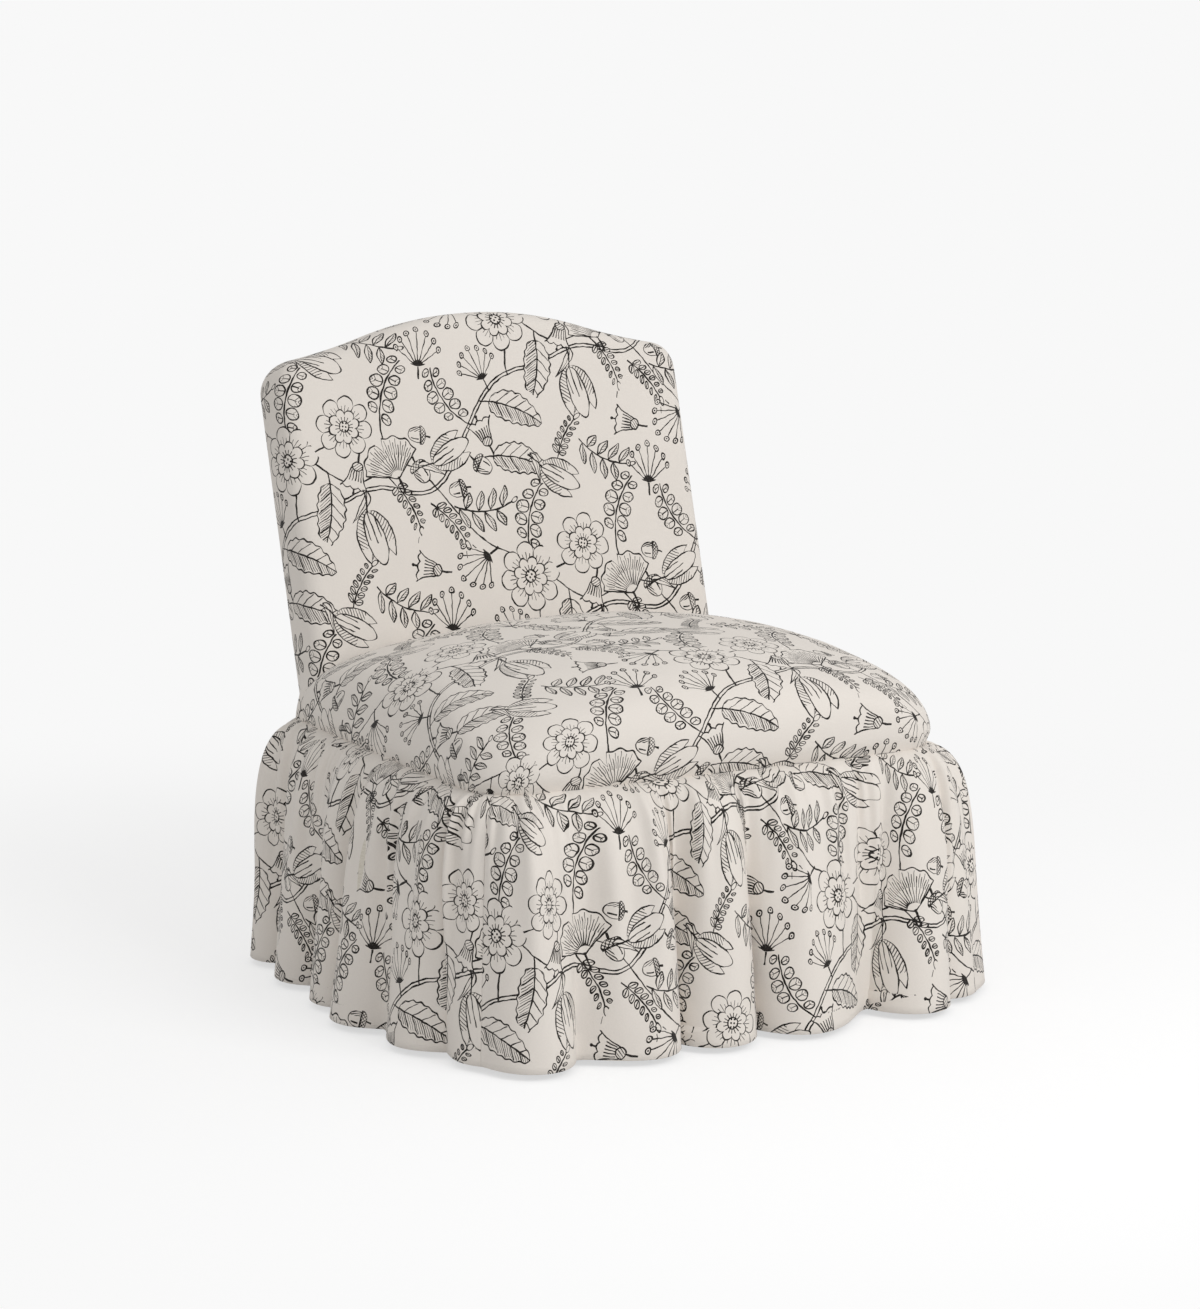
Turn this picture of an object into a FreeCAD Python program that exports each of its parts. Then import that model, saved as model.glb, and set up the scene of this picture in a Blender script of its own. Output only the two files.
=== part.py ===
import FreeCAD, Part
import math
import os

V = FreeCAD.Vector

# Seat, measured over the cover at the skirt seam
seat_width = 660.0
seat_depth = 595.0
seam_height = 327.0
seat_crown = 136.0
crown_forward = 30.0
seam_front_radius = 65.0
seam_rear_radius = 52.0
seam_draw_in = 5.0
crown_roundness = 3.1
corner_softening = 2.0

# Back, measured over the cover, its length along the rake
back_width = 606.0
back_thickness = 84.0
back_length = 516.0
back_rake = 16.5
back_swell = 8.0
back_front_edge = 24.0
back_rear_edge = 7.0
back_side_wrap = 10.0
crest_radius = 520.0
crest_turn = 18.0
shoulder_radius = 800.0
corner_radius = 36.0

# Cover and padding layers
clearance = 0.3
cover_thickness = 2.0
batting_thickness = 8.0
back_batting_thickness = 7.0
back_foam_thickness = 24.0
burlap_thickness = 1.5
webbing_thickness = 2.0
webbing_width = 50.0
webbing_count = 5
back_burlap_margin = 4.0
flap_height = 18.0
tape_thickness = 2.0
tape_height = 12.0

# Hardwood frame
rail_height = 80.0
rail_thickness = 24.0
front_leg_size = 56.0
rear_leg_depth = 50.0
post_width = 32.0
post_depth = 40.0
post_set_back = 7.5
crest_rail_height = 100.0
crest_rail_thickness = 28.0
back_rail_height = 60.0
back_rail_rise = 62.0
corner_block_reach = 90.0
corner_block_height = 30.0
corner_block_drop = 20.0
dowel_diameter = 10.0
dowel_length = 50.0
dowel_bite = 20.0
dowel_spacing = 40.0
screw_diameter = 4.5
screw_head_diameter = 9.0
screw_head_height = 3.0
screw_bite = 14.0
fastener_clearance = 0.1
hole_end_room = 1.0
screw_sink = 2.0
low_screw = 0.35
high_screw = 0.65

# Glides nailed under the legs
glide_height = 6.0
glide_diameter = 26.0
glide_chamfer = 1.0
nail_diameter = 2.4
nail_length = 18.0
nail_floor = 2.0

# Sinuous seat springs, their clips and the two cross wires
spring_count = 5
spring_spacing = 100.0
spring_wire = 3.6
spring_run = 38.0
spring_pitch = 22.0
clip_width = 20.0
clip_length = 14.0
clip_sheet = 1.0
cross_wire = 2.4
cross_wire_count = 2

# Black cambric under the frame, with its staples
cambric_thickness = 0.8
cambric_margin = 3.0
staple_crown = 10.0
staple_wire = 1.0
staple_leg = 6.0
staples_per_side = 6

# Gathered skirt
hem_clearance = 9.0
skirt_flare = 52.0
skirt_puff = 22.0
skirt_puff_drop = 42.0
skirt_thickness = 1.6
lining_thickness = 1.0
lining_short = 3.0
lining_gap = 1.5
gather_depth = 2.0
puff_fold_share = 0.35

# Folds along each hem, as (place along the hem from its first corner, swing from the mean line)
front_folds = [(0, -6), (70, 22), (122, -8), (212, 27), (264, -20), (319, 27), (377, -24),
               (440, 28), (552, -27), (612, 20), (664, -10), (714, 6)]
right_folds = [(0, 6), (74, 20), (128, -22), (196, 26), (262, -24), (330, 22), (392, -18),
               (452, 27), (520, -26), (584, 18), (656, 4)]
rear_folds = [(0, 4), (62, 16), (118, -22), (182, 24), (240, -18), (300, 27), (366, -25),
              (432, 22), (488, -20), (548, 26), (600, -14), (658, 5)]
left_folds = [(0, 5), (48, 14), (104, -26), (170, 12), (226, -24), (292, 16), (334, -12),
              (384, 27), (446, -8), (510, 10), (574, -27), (656, -6)]

# Places worked out from the sizes above
rake = math.radians(back_rake)
half_width = seat_width / 2
fold_reach = max(swing for place, swing in front_folds)
skirt_reach = skirt_flare + fold_reach
back_lean = back_length * math.sin(rake)
seam_front = -(skirt_reach + seat_depth + back_lean) / 2 + skirt_reach
seam_rear = seam_front + seat_depth
half_depth = seat_depth / 2
seat_middle = (seam_front + seam_rear) / 2
rail_inset = seam_draw_in + cover_thickness + clearance
rail_top = seam_height - clearance
rail_bottom = rail_top - rail_height
rail_outer_x = half_width - rail_inset
rail_inner_x = rail_outer_x - rail_thickness
rail_front = seam_front + rail_inset
rail_rear = seam_rear - rail_inset
back_half = back_width / 2
post_outer_x = back_half - back_side_wrap
post_inner_x = post_outer_x - post_width
leg_inner_x = rail_outer_x - front_leg_size
front_leg_rear = rail_front + front_leg_size
rear_leg_front = rail_rear - rear_leg_depth
far = 2000.0


def box(x0, x1, y0, y1, z0, z1):
    """A box between two corners."""
    return Part.makeBox(x1 - x0, y1 - y0, z1 - z0, V(x0, y0, z0))


def mirrored(shape):
    """The same piece on the other side of the chair."""
    return shape.mirror(V(0, 0, 0), V(1, 0, 0))


def rod(start, end, radius):
    """A round bar between two points."""
    way = end.sub(start)
    return Part.makeCylinder(radius, way.Length, start, way)


def write(name, *shapes):
    """One STEP file for a piece, or for a group of like pieces."""
    shape = shapes[0] if len(shapes) == 1 else Part.makeCompound(list(shapes))
    shape.exportStep("parts/" + name + ".step")
    print(name, len(shape.Solids), round(shape.Volume / 1000.0, 1), shape.isValid())
    return shape


def union(shapes):
    """Several touching shapes made into one solid."""
    return shapes[0].multiFuse(shapes[1:]).removeSplitter()


# Plan outlines of the seat

def rounded_outline(half_x, y0, y1, front_radius, rear_radius, z):
    """A rectangle in plan with rounded corners, as one closed wire."""
    corners = [(half_x, y0, front_radius, -90), (half_x, y1, rear_radius, 0),
               (-half_x, y1, rear_radius, 90), (-half_x, y0, front_radius, 180)]
    ends = []
    for x, y, radius, turn in corners:
        cx = x - math.copysign(radius, x)
        cy = y + radius if y == y0 else y - radius
        arc = [V(cx + radius * math.cos(math.radians(turn + step)),
                 cy + radius * math.sin(math.radians(turn + step)), z) for step in (0, 45, 90)]
        ends.append(arc)
    edges = []
    for index, arc in enumerate(ends):
        edges.append(Part.Arc(*arc).toShape())
        edges.append(Part.LineSegment(arc[2], ends[(index + 1) % 4][0]).toShape())
    return Part.Wire(edges)


def seam_outline(inset, z):
    """The line of the skirt seam, drawn in by an inset."""
    return rounded_outline(half_width - inset, seam_front + inset, seam_rear - inset,
                           seam_front_radius - inset, seam_rear_radius - inset, z)


def seam_prism(inset, z0, z1):
    """A plain block inside the seam line."""
    return Part.Face(seam_outline(inset, z0)).extrude(V(0, 0, z1 - z0))


# Seat form

def seat_form(inset):
    """The crowned seat, as one solid standing on the seam, made smaller all round by an inset."""
    across = half_width - inset
    along = half_depth - inset
    rise = seat_crown - inset
    wires = [seam_outline(inset + seam_draw_in, seam_height)]
    for share in (0.07, 0.18, 0.32, 0.48, 0.64, 0.78, 0.89, 0.96, 0.99, 0.9985):
        fall = 1 - (1 - share ** crown_roundness) ** (1 / crown_roundness)
        half_x = across * (1 - fall)
        half_y = along * (1 - fall)
        middle = seat_middle - crown_forward * share
        most = 0.94 * min(half_x, half_y)
        softening = share ** corner_softening
        front = seam_front_radius - inset
        rear = seam_rear_radius - inset
        front = min(most, front + (along - front) * softening)
        rear = min(most, rear + (along - rear) * softening)
        wires.append(rounded_outline(half_x, middle - half_y, middle + half_y, front, rear,
                                     seam_height + rise * share))
    return Part.makeLoft(wires, True, False)


# Back form, drawn in the plane of the back: X across, Y up the rake, Z towards the sitter

def to_back(shape):
    """Puts a shape drawn in the plane of the back in its place on the chair."""
    placed = shape.copy()
    placed.Placement = FreeCAD.Placement(V(0, seam_rear, seam_height),
                                         FreeCAD.Rotation(V(1, 0, 0), 90 - back_rake))
    return placed


def crest_outline(inset, foot):
    """The outline of the back with its camel crest, drawn in by an inset, down to a foot line."""
    turn = math.radians(crest_turn)
    middle = V(0, back_length - crest_radius, 0)
    waist = V(crest_radius * math.sin(turn), middle.y + crest_radius * math.cos(turn), 0)
    hollow = V(waist.x + shoulder_radius * math.sin(turn),
               waist.y + shoulder_radius * math.cos(turn), 0)
    slope = math.asin((hollow.x - back_half + corner_radius) / (shoulder_radius + corner_radius))
    out = V(math.sin(slope), math.cos(slope), 0)
    corner = hollow - out * (shoulder_radius + corner_radius)

    def on(centre, radius, angle):
        return V(centre.x + radius * math.sin(angle), centre.y + radius * math.cos(angle), 0)

    half = [on(corner, corner_radius - inset, math.pi / 2),
            on(corner, corner_radius - inset, (math.pi / 2 + slope) / 2),
            on(corner, corner_radius - inset, slope),
            on(hollow, -shoulder_radius - inset, (slope + turn) / 2),
            on(middle, crest_radius - inset, turn)]
    top = on(middle, crest_radius - inset, 0)
    left = [V(-p.x, p.y, 0) for p in half]
    foot_right = V(half[0].x, foot, 0)
    foot_left = V(-half[0].x, foot, 0)
    return Part.Wire([
        Part.LineSegment(foot_left, foot_right).toShape(),
        Part.LineSegment(foot_right, half[0]).toShape(),
        Part.Arc(half[0], half[1], half[2]).toShape(),
        Part.Arc(half[2], half[3], half[4]).toShape(),
        Part.Arc(half[4], top, left[4]).toShape(),
        Part.Arc(left[4], left[3], left[2]).toShape(),
        Part.Arc(left[2], left[1], left[0]).toShape(),
        Part.LineSegment(left[0], foot_left).toShape()])


def crest_slab(inset, foot, w0, w1):
    """A flat slab of the back's outline between two depths, in the plane of the back."""
    face = Part.Face(crest_outline(inset, foot))
    face.translate(V(0, 0, w0))
    return face.extrude(V(0, 0, w1 - w0))


back_foot = -2 * back_thickness


def back_form(inset):
    """The padded back in its own plane: swollen front, soft front edge, made smaller by an inset."""
    slab = crest_slab(inset, back_foot, inset, back_thickness - inset)
    swell_radius = (back_half ** 2 + back_swell ** 2) / (2 * back_swell)
    swell = Part.makeCylinder(swell_radius - inset, 2 * far,
                              V(0, -far, back_thickness - swell_radius), V(0, 1, 0))
    slab = slab.common(swell)

    def is_rim(edge, front):
        box_of = edge.BoundBox
        if box_of.YLength < 1 and box_of.YMin < back_foot + 1:
            return False
        middle_depth = back_thickness / 2
        return box_of.ZMin > middle_depth if front else box_of.ZMax < middle_depth

    front_rim = [e for e in slab.Edges if is_rim(e, True)]
    slab = slab.makeFillet(back_front_edge - inset, front_rim)
    if back_rear_edge > inset:
        rear_rim = [e for e in slab.Edges if is_rim(e, False)]
        slab = slab.makeFillet(back_rear_edge - inset, rear_rim)
    return slab


def above(shape, z):
    """What lies above a height."""
    return shape.cut(box(-far, far, -far, far, -far, z))


os.makedirs("parts", exist_ok=True)

# Insets of the seat's layers
batting_inset = cover_thickness + clearance
padding_inset = batting_inset + batting_thickness
foam_inset = padding_inset + clearance

# Heights of the seat's suspension
clip_top = rail_top + 2 * clip_sheet + spring_wire + clearance
burlap_bottom = clip_top + clearance
burlap_top = burlap_bottom + burlap_thickness
foam_bottom = burlap_top + clearance
back_floor = foam_bottom + clearance

# Depths of the back's layers, from its rear face
post_front = post_set_back + post_depth
webbing_front = post_front + webbing_thickness
back_burlap_rear = webbing_front + webbing_thickness + 2 * clearance
back_foam_rear = back_burlap_rear + burlap_thickness + clearance


# Rear legs, each sawn in one piece with its back post

def rake_line(depth, z):
    """Where a plane at a depth in the back stands at a height."""
    return seam_rear - depth / math.cos(rake) + (z - seam_height) * math.tan(rake)


def rake_height(depth, y):
    """The height where that plane reaches a place."""
    return seam_height + (y - seam_rear + depth / math.cos(rake)) / math.tan(rake)


def rear_post():
    top = seam_height + back_length
    outline = [V(0, rear_leg_front, glide_height), V(0, rail_rear, glide_height),
               V(0, rail_rear, rake_height(post_set_back, rail_rear)),
               V(0, rake_line(post_set_back, top), top), V(0, rake_line(post_front, top), top),
               V(0, rear_leg_front, rake_height(post_front, rear_leg_front))]
    face = Part.Face(Part.makePolygon(outline + outline[:1]))
    face.translate(V(post_inner_x, 0, 0))
    post = face.extrude(V(rail_outer_x - post_inner_x, 0, 0))
    post = post.cut(box(post_outer_x, far, -far, far, rail_top, far))
    joint = seam_height + clearance
    lower = post.common(seam_prism(rail_inset, 0, joint))
    upper = above(post, joint).common(
        to_back(crest_slab(back_side_wrap, back_foot, -far, far)))
    return union([lower, upper])


def front_leg():
    leg = box(leg_inner_x, rail_outer_x, rail_front, front_leg_rear, glide_height, rail_top)
    return leg.common(seam_prism(rail_inset, 0, rail_top))


rear_leg = rear_post()
corner_leg = front_leg()

# Seat rails, doweled between the legs
front_rail = box(-leg_inner_x, leg_inner_x, rail_front, rail_front + rail_thickness,
                 rail_bottom, rail_top)
rear_rail = box(-post_inner_x, post_inner_x, rail_rear - rail_thickness, rail_rear,
                rail_bottom, rail_top)
side_rail = box(rail_inner_x, rail_outer_x, front_leg_rear, rear_leg_front,
                rail_bottom, rail_top)

# Back rails, between the posts
back_rail_depth = post_set_back + (post_depth - crest_rail_thickness) / 2
crest_foot = back_length - back_side_wrap - crest_rail_height
crest_rail = crest_slab(back_side_wrap, crest_foot, back_rail_depth,
                        back_rail_depth + crest_rail_thickness)
crest_rail = crest_rail.common(box(-post_inner_x, post_inner_x, -far, far, -far, far))
lower_rail = box(-post_inner_x, post_inner_x, back_rail_rise, back_rail_rise + back_rail_height,
                 back_rail_depth, back_rail_depth + crest_rail_thickness)
crest_rail = to_back(crest_rail)
lower_rail = to_back(lower_rail)

# Dowels, two in each rail end, as (middle of the joint, direction into the rail)
rail_mid = (rail_top + rail_bottom) / 2


def dowel_pair(face, into, apart):
    """Two dowels across a joint face, each biting into the post and the rail."""
    pair = []
    for side in (-0.5, 0.5):
        middle = face + apart * (dowel_spacing * side)
        start = middle - into * dowel_bite
        pair.append((start, start + into * dowel_length))
    return pair


up = V(0, 0, 1)
slope_up = V(0, math.sin(rake), math.cos(rake))


def back_point(x, rise, depth):
    """A point given in the plane of the back."""
    return V(x, seam_rear, seam_height) + slope_up * rise + V(
        0, -math.cos(rake), math.sin(rake)) * depth


rail_middle_x = (rail_inner_x + rail_outer_x) / 2
back_rail_middle = back_rail_depth + crest_rail_thickness / 2
crest_joint = crest_foot + dowel_diameter * 2
dowel_lines = (
    dowel_pair(V(leg_inner_x, rail_front + rail_thickness / 2, rail_mid), V(-1, 0, 0), up)
    + dowel_pair(V(post_inner_x, rail_rear - rail_thickness / 2, rail_mid), V(-1, 0, 0), up)
    + dowel_pair(V(rail_middle_x, front_leg_rear, rail_mid), V(0, 1, 0), up)
    + dowel_pair(V(rail_middle_x, rear_leg_front, rail_mid), V(0, -1, 0), up)
    + dowel_pair(back_point(post_inner_x, back_rail_rise + back_rail_height / 2, back_rail_middle),
                 V(-1, 0, 0), slope_up)
    + [(back_point(post_inner_x + dowel_bite, crest_joint, back_rail_middle),
        back_point(post_inner_x + dowel_bite - dowel_length, crest_joint, back_rail_middle))])
dowels = [rod(a, b, dowel_diameter / 2) for a, b in dowel_lines]
dowel_holes = Part.makeCompound([
    rod(a - (b - a).normalize() * hole_end_room, b + (b - a).normalize() * hole_end_room,
        dowel_diameter / 2 + fastener_clearance) for a, b in dowel_lines])
dowels += [mirrored(d) for d in dowels]
holes_both = Part.makeCompound([dowel_holes, mirrored(dowel_holes)])

# Corner blocks, notched round the legs, with two screws each
block_top = rail_top - corner_block_drop


def corner_block(y_corner, inward, leg_x, leg_y):
    """A block across one inside corner and its two screws, on the right side of the chair."""
    def at(i, j, z):
        return V(rail_inner_x - i, y_corner + inward * j, z)

    reach = corner_block_reach
    foot = block_top - corner_block_height
    points = [at(leg_x, 0, foot), at(reach, 0, foot), at(0, reach, foot),
              at(0, leg_y, foot), at(leg_x, leg_y, foot)]
    block = Part.Face(Part.makePolygon(points + points[:1])).extrude(
        V(0, 0, corner_block_height))
    screws = []
    for high, along_rail in ((low_screw, True), (high_screw, False)):
        z = foot + corner_block_height * high
        place = (leg_x if along_rail else leg_y) / 2 + reach / 2
        depth = reach - place - screw_head_height - screw_sink
        if along_rail:
            head, tip = at(place, depth, z), at(place, -screw_bite, z)
        else:
            head, tip = at(depth, place, z), at(-screw_bite, place, z)
        screws.append((head, tip))
    return block, screws


front_block, front_screws = corner_block(rail_front + rail_thickness, 1,
                                         front_leg_size - rail_thickness,
                                         front_leg_size - rail_thickness)
rear_block, rear_screws = corner_block(rail_rear - rail_thickness, -1,
                                       rail_inner_x - post_inner_x,
                                       rear_leg_depth - rail_thickness)


def screw(line, grow):
    """A wood screw, or with some growth the hole that it sits in."""
    head, tip = line
    way = (tip - head).normalize()
    shank = rod(head, tip + way * grow, screw_diameter / 2 + grow)
    back_off = 60.0 if grow else 0.0
    cap = rod(head - way * (screw_head_height + back_off), head, screw_head_diameter / 2 + grow)
    return union([shank, cap])


screw_lines = front_screws + rear_screws
screws = [screw(line, 0) for line in screw_lines]
screw_holes = Part.makeCompound([screw(line, fastener_clearance) for line in screw_lines])
screws += [mirrored(s) for s in screws]
blocks = [front_block.cut(screw_holes), rear_block.cut(screw_holes)]
blocks += [mirrored(b) for b in blocks]
frame_holes = Part.makeCompound([holes_both, screw_holes, mirrored(screw_holes)])

# Glides, with a nail moulded into each
glide_seats = [V(rail_outer_x - front_leg_size / 2, rail_front + front_leg_size / 2, 0),
               V((post_inner_x + rail_outer_x) / 2, rail_rear - rear_leg_depth / 2, 0)]


def glide(seat):
    disc = Part.makeCylinder(glide_diameter / 2, glide_height, seat)
    rim = [e for e in disc.Edges if e.BoundBox.ZMax < 0.01]
    disc = disc.makeChamfer(glide_chamfer, rim)
    return disc.cut(nail(seat, fastener_clearance))


def nail(seat, grow):
    return Part.makeCylinder(nail_diameter / 2 + grow, nail_length + grow,
                             seat + V(0, 0, nail_floor))


glides = [glide(seat) for seat in glide_seats]
nails = [nail(seat, 0) for seat in glide_seats]
nail_holes = Part.makeCompound([nail(seat, fastener_clearance) for seat in glide_seats])
corner_leg = corner_leg.cut(Part.makeCompound([nail_holes, frame_holes]))
rear_leg = rear_leg.cut(Part.makeCompound([nail_holes, frame_holes]))

# Springs, running front to back in clips on the rails
spring_level = rail_top + clip_sheet + spring_wire / 2 + clearance / 2
clip_inset = padding_inset + seam_draw_in + clearance + clip_length / 2
spring_front = seam_front + clip_inset
spring_rear = seam_rear - clip_inset
half_turns = round((spring_rear - spring_front) / spring_pitch)
turn_pitch = (spring_rear - spring_front) / half_turns


def spring(x):
    """One zigzag wire: straight runs across, joined by half turns."""
    edges = []
    y = spring_front
    side = 1
    for index in range(half_turns + 1):
        a = V(x - side * spring_run / 2, y, spring_level)
        b = V(x + side * spring_run / 2, y, spring_level)
        edges.append(Part.LineSegment(a, b).toShape())
        if index < half_turns:
            bulge = V(b.x + side * turn_pitch / 2, y + turn_pitch / 2, spring_level)
            edges.append(Part.Arc(b, bulge, V(b.x, y + turn_pitch, spring_level)).toShape())
        y += turn_pitch
        side = -side
    start = V(x - spring_run / 2, spring_front, spring_level)
    profile = Part.Wire([Part.makeCircle(spring_wire / 2, start, V(1, 0, 0))])
    return Part.Wire(edges).makePipeShell([profile], True, False)


def clip(x, y, inward):
    """A bent steel clip on a rail, open towards the middle of the seat."""
    low = rail_top
    top = clip_top
    outer = y - inward * (clip_length / 2)
    inner = y + inward * (clip_length / 2)
    wall = outer + inward * clip_sheet
    points = [V(0, outer, low), V(0, inner, low), V(0, inner, low + clip_sheet),
              V(0, wall, low + clip_sheet), V(0, wall, top - clip_sheet),
              V(0, inner, top - clip_sheet), V(0, inner, top), V(0, outer, top)]
    face = Part.Face(Part.makePolygon(points + points[:1]))
    face.translate(V(x - clip_width / 2, 0, 0))
    return face.extrude(V(clip_width, 0, 0))


spring_places = [spring_spacing * (i - (spring_count - 1) / 2) for i in range(spring_count)]
springs = [spring(x) for x in spring_places]
clips = [clip(x, spring_front, 1) for x in spring_places]
clips += [clip(x, spring_rear, -1) for x in spring_places]
wire_level = spring_level - spring_wire / 2 - clearance - cross_wire / 2
cross_wires = []
for i in range(cross_wire_count):
    share = (i + 1) / (cross_wire_count + 1)
    y = front_leg_rear + (rear_leg_front - front_leg_rear) * share
    cross_wires.append(rod(V(-rail_inner_x, y, wire_level), V(rail_inner_x, y, wire_level),
                           cross_wire / 2))

# Seat padding and cover, nested inside one another and fitted to the back
back_block = to_back(crest_slab(-clearance, back_foot, -far, back_thickness + clearance))
seat_outer = seat_form(0)
seat_cover = seat_outer.cut(seat_form(cover_thickness))
flap = seam_prism(seam_draw_in, seam_height - flap_height, seam_height).cut(
    seam_prism(seam_draw_in + cover_thickness, seam_height - flap_height, seam_height))
seat_cover = union([seat_cover.cut(back_block), flap])
seat_batting = seat_form(batting_inset).cut(seat_form(padding_inset)).cut(back_block)
padding = seat_form(foam_inset)
seat_foam = above(padding, foam_bottom).cut(back_block)
burlap_slice = box(-far, far, -far, far, burlap_bottom, burlap_top)
burlap_half = post_inner_x - clearance
seat_burlap = union([
    padding.common(burlap_slice).cut(back_block),
    box(-burlap_half, burlap_half, seat_middle, rail_rear - clearance,
        burlap_bottom, burlap_top)])

# Back padding and covers
back_outer = back_form(0)
inner_shell = back_outer.cut(back_form(cover_thickness))
inner_shell = inner_shell.cut(crest_slab(back_rear_edge, back_foot, -1, cover_thickness + clearance))
inside_cover = above(to_back(inner_shell), seam_height)
wall_half = back_half - 2 * cover_thickness
inside_cover = inside_cover.cut(box(-wall_half, wall_half, -far, far, 0, back_floor))
outside_panel = above(to_back(crest_slab(back_rear_edge + clearance, back_foot, 0,
                                         cover_thickness)), seam_height)
batting_gap = cover_thickness + clearance
back_batting = back_form(batting_gap).cut(back_form(batting_gap + back_batting_thickness))
back_batting = back_batting.cut(crest_slab(batting_gap + back_batting_thickness, back_foot, -far,
                                           back_thickness / 2))
back_batting = back_batting.cut(box(-far, far, -far, far, -far, post_set_back))
back_batting = above(to_back(back_batting), back_floor)
foam_gap = batting_gap + back_batting_thickness + clearance
back_foam = back_form(foam_gap).cut(box(-far, far, -far, far, -far, back_foam_rear))
back_foam = above(to_back(back_foam), back_floor)
back_burlap = above(to_back(crest_slab(foam_gap + back_burlap_margin, back_foot, back_burlap_rear,
                                       back_burlap_rear + burlap_thickness)), back_floor)

# Webbing across the front of the posts, with two upright strips behind it
strips = []
low_strip = back_rail_rise
high_strip = crest_foot - webbing_width
for i in range(webbing_count):
    y = low_strip + (high_strip - low_strip) * i / (webbing_count - 1)
    strips.append(to_back(box(-post_outer_x + clearance, post_outer_x - clearance, y,
                              y + webbing_width, post_front, webbing_front)))
upright_low = back_rail_rise
upright_high = crest_foot + crest_rail_height / 2
for side in (-1, 1):
    x = side * post_inner_x / 3
    strips.append(to_back(box(x - webbing_width / 2, x + webbing_width / 2, upright_low,
                              upright_high, webbing_front + clearance,
                              webbing_front + clearance + webbing_thickness)))

# Cambric under the frame and its staples
cambric_top = rail_bottom
cambric_bottom = cambric_top - cambric_thickness
cambric = seam_prism(rail_inset + cambric_margin, cambric_bottom, cambric_top)
leg_room = Part.makeCompound([
    box(leg_inner_x - 1, far, -far, front_leg_rear + 1, 0, rail_bottom),
    box(post_inner_x - 1, far, rear_leg_front - 1, far, 0, rail_bottom)])
cambric = cambric.cut(leg_room).cut(mirrored(leg_room))


def staple(x, y, lengthways, grow):
    """A wire staple through the cambric, or its slots."""
    half = staple_crown / 2
    dx, dy = (half, staple_wire / 2) if lengthways else (staple_wire / 2, half)
    crown = box(x - dx, x + dx, y - dy, y + dy, cambric_bottom - staple_wire, cambric_bottom)
    legs = []
    for side in (-1, 1):
        lx = x + side * (half - staple_wire / 2) * (1 if lengthways else 0)
        ly = y + side * (half - staple_wire / 2) * (0 if lengthways else 1)
        reach = staple_wire / 2 + grow
        legs.append(box(lx - reach, lx + reach, ly - reach, ly + reach, cambric_bottom,
                        cambric_bottom + staple_leg + grow))
    return legs if grow else [union([crown] + legs)]


def staple_places():
    places = []
    for i in range(staples_per_side):
        share = (i + 0.5) / staples_per_side - 0.5
        x = 2 * leg_inner_x * share
        y = (front_leg_rear + rear_leg_front) / 2 + (rear_leg_front - front_leg_rear) * share
        places.append((x, rail_front + rail_thickness / 2, True))
        places.append((2 * post_inner_x * share, rail_rear - rail_thickness / 2, True))
        places.append((rail_middle_x, y, False))
        places.append((-rail_middle_x, y, False))
    return places


staples = []
staple_slots = []
for place in staple_places():
    staples += staple(*place, 0)
    staple_slots += staple(*place, fastener_clearance)
staple_slots = Part.makeCompound(staple_slots)
cambric = cambric.cut(staple_slots)
rail_cuts = Part.makeCompound([frame_holes, staple_slots])

# Tape that the gathered head of the skirt is sewn to
tape_inset = seam_draw_in - clearance - tape_thickness
tape_top = seam_height - 1.0
skirt_tape = seam_prism(tape_inset, tape_top - tape_height, tape_top).cut(
    seam_prism(tape_inset + tape_thickness, tape_top - tape_height, tape_top))

# Skirt panels, each from the middle of one corner to the middle of the next
panels = {
    "front": (V(-1, -1, 0), V(1, -1, 0), front_folds),
    "right": (V(1, -1, 0), V(1, 1, 0), right_folds),
    "rear": (V(1, 1, 0), V(-1, 1, 0), rear_folds),
    "left": (V(-1, 1, 0), V(-1, -1, 0), left_folds)}


def corner_centre(corner):
    """The middle of a corner's round, and its radius at the seam."""
    radius = seam_front_radius if corner.y < 0 else seam_rear_radius
    y = seam_front + radius if corner.y < 0 else seam_rear - radius
    return V(corner.x * (half_width - radius), y, 0), radius


def skirt_ring(panel, out, swing_share, gather, shift, z):
    """One side of a panel at a height, as edges that run from corner to corner.

    out is how far the mean line stands from the seam line, swing_share how much of each fold's
    swing shows there, gather the depth of the small gathers, and shift the layer's own offset.
    """
    start, end, folds = panels[panel]
    first, first_radius = corner_centre(start)
    last, last_radius = corner_centre(end)
    along = (end - start).normalize()
    outward = V(along.y, -along.x, 0)
    straight = (last - first).dot(along)
    quarter = math.pi / 4
    first_arc = (first_radius + skirt_flare) * quarter
    last_arc = (last_radius + skirt_flare) * quarter
    length = first_arc + straight + last_arc
    scale = length / folds[-1][0]

    def at(place, swing):
        offset = out + shift + swing
        if place <= first_arc:
            angle = quarter * (1 - place / first_arc)
            way = outward * math.cos(angle) - along * math.sin(angle)
            point = first + way * (first_radius + offset)
        elif place >= first_arc + straight:
            angle = quarter * (place - first_arc - straight) / last_arc
            way = outward * math.cos(angle) + along * math.sin(angle)
            point = last + way * (last_radius + offset)
        else:
            point = first + along * (place - first_arc) + outward * (first_radius + offset)
        return V(point.x, point.y, z)

    def swing_of(swing):
        return swing * swing_share + math.copysign(gather, swing)

    stations = [(place * scale, swing_of(swing)) for place, swing in folds]
    middles = [((a[0] + b[0]) / 2, (a[1] + b[1]) / 2) for a, b in zip(stations, stations[1:])]

    def end_arc(a, b):
        half_way = at((a[0] + b[0]) / 2, (a[1] + b[1]) / 2)
        return Part.Arc(at(*a), half_way, at(*b)).toShape()

    edges = [end_arc(stations[0], middles[0])]
    for index in range(1, len(stations) - 1):
        edges.append(Part.Arc(at(*middles[index - 1]), at(*stations[index]),
                              at(*middles[index])).toShape())
    edges.append(end_arc(middles[-1], stations[-1]))
    return edges


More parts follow.
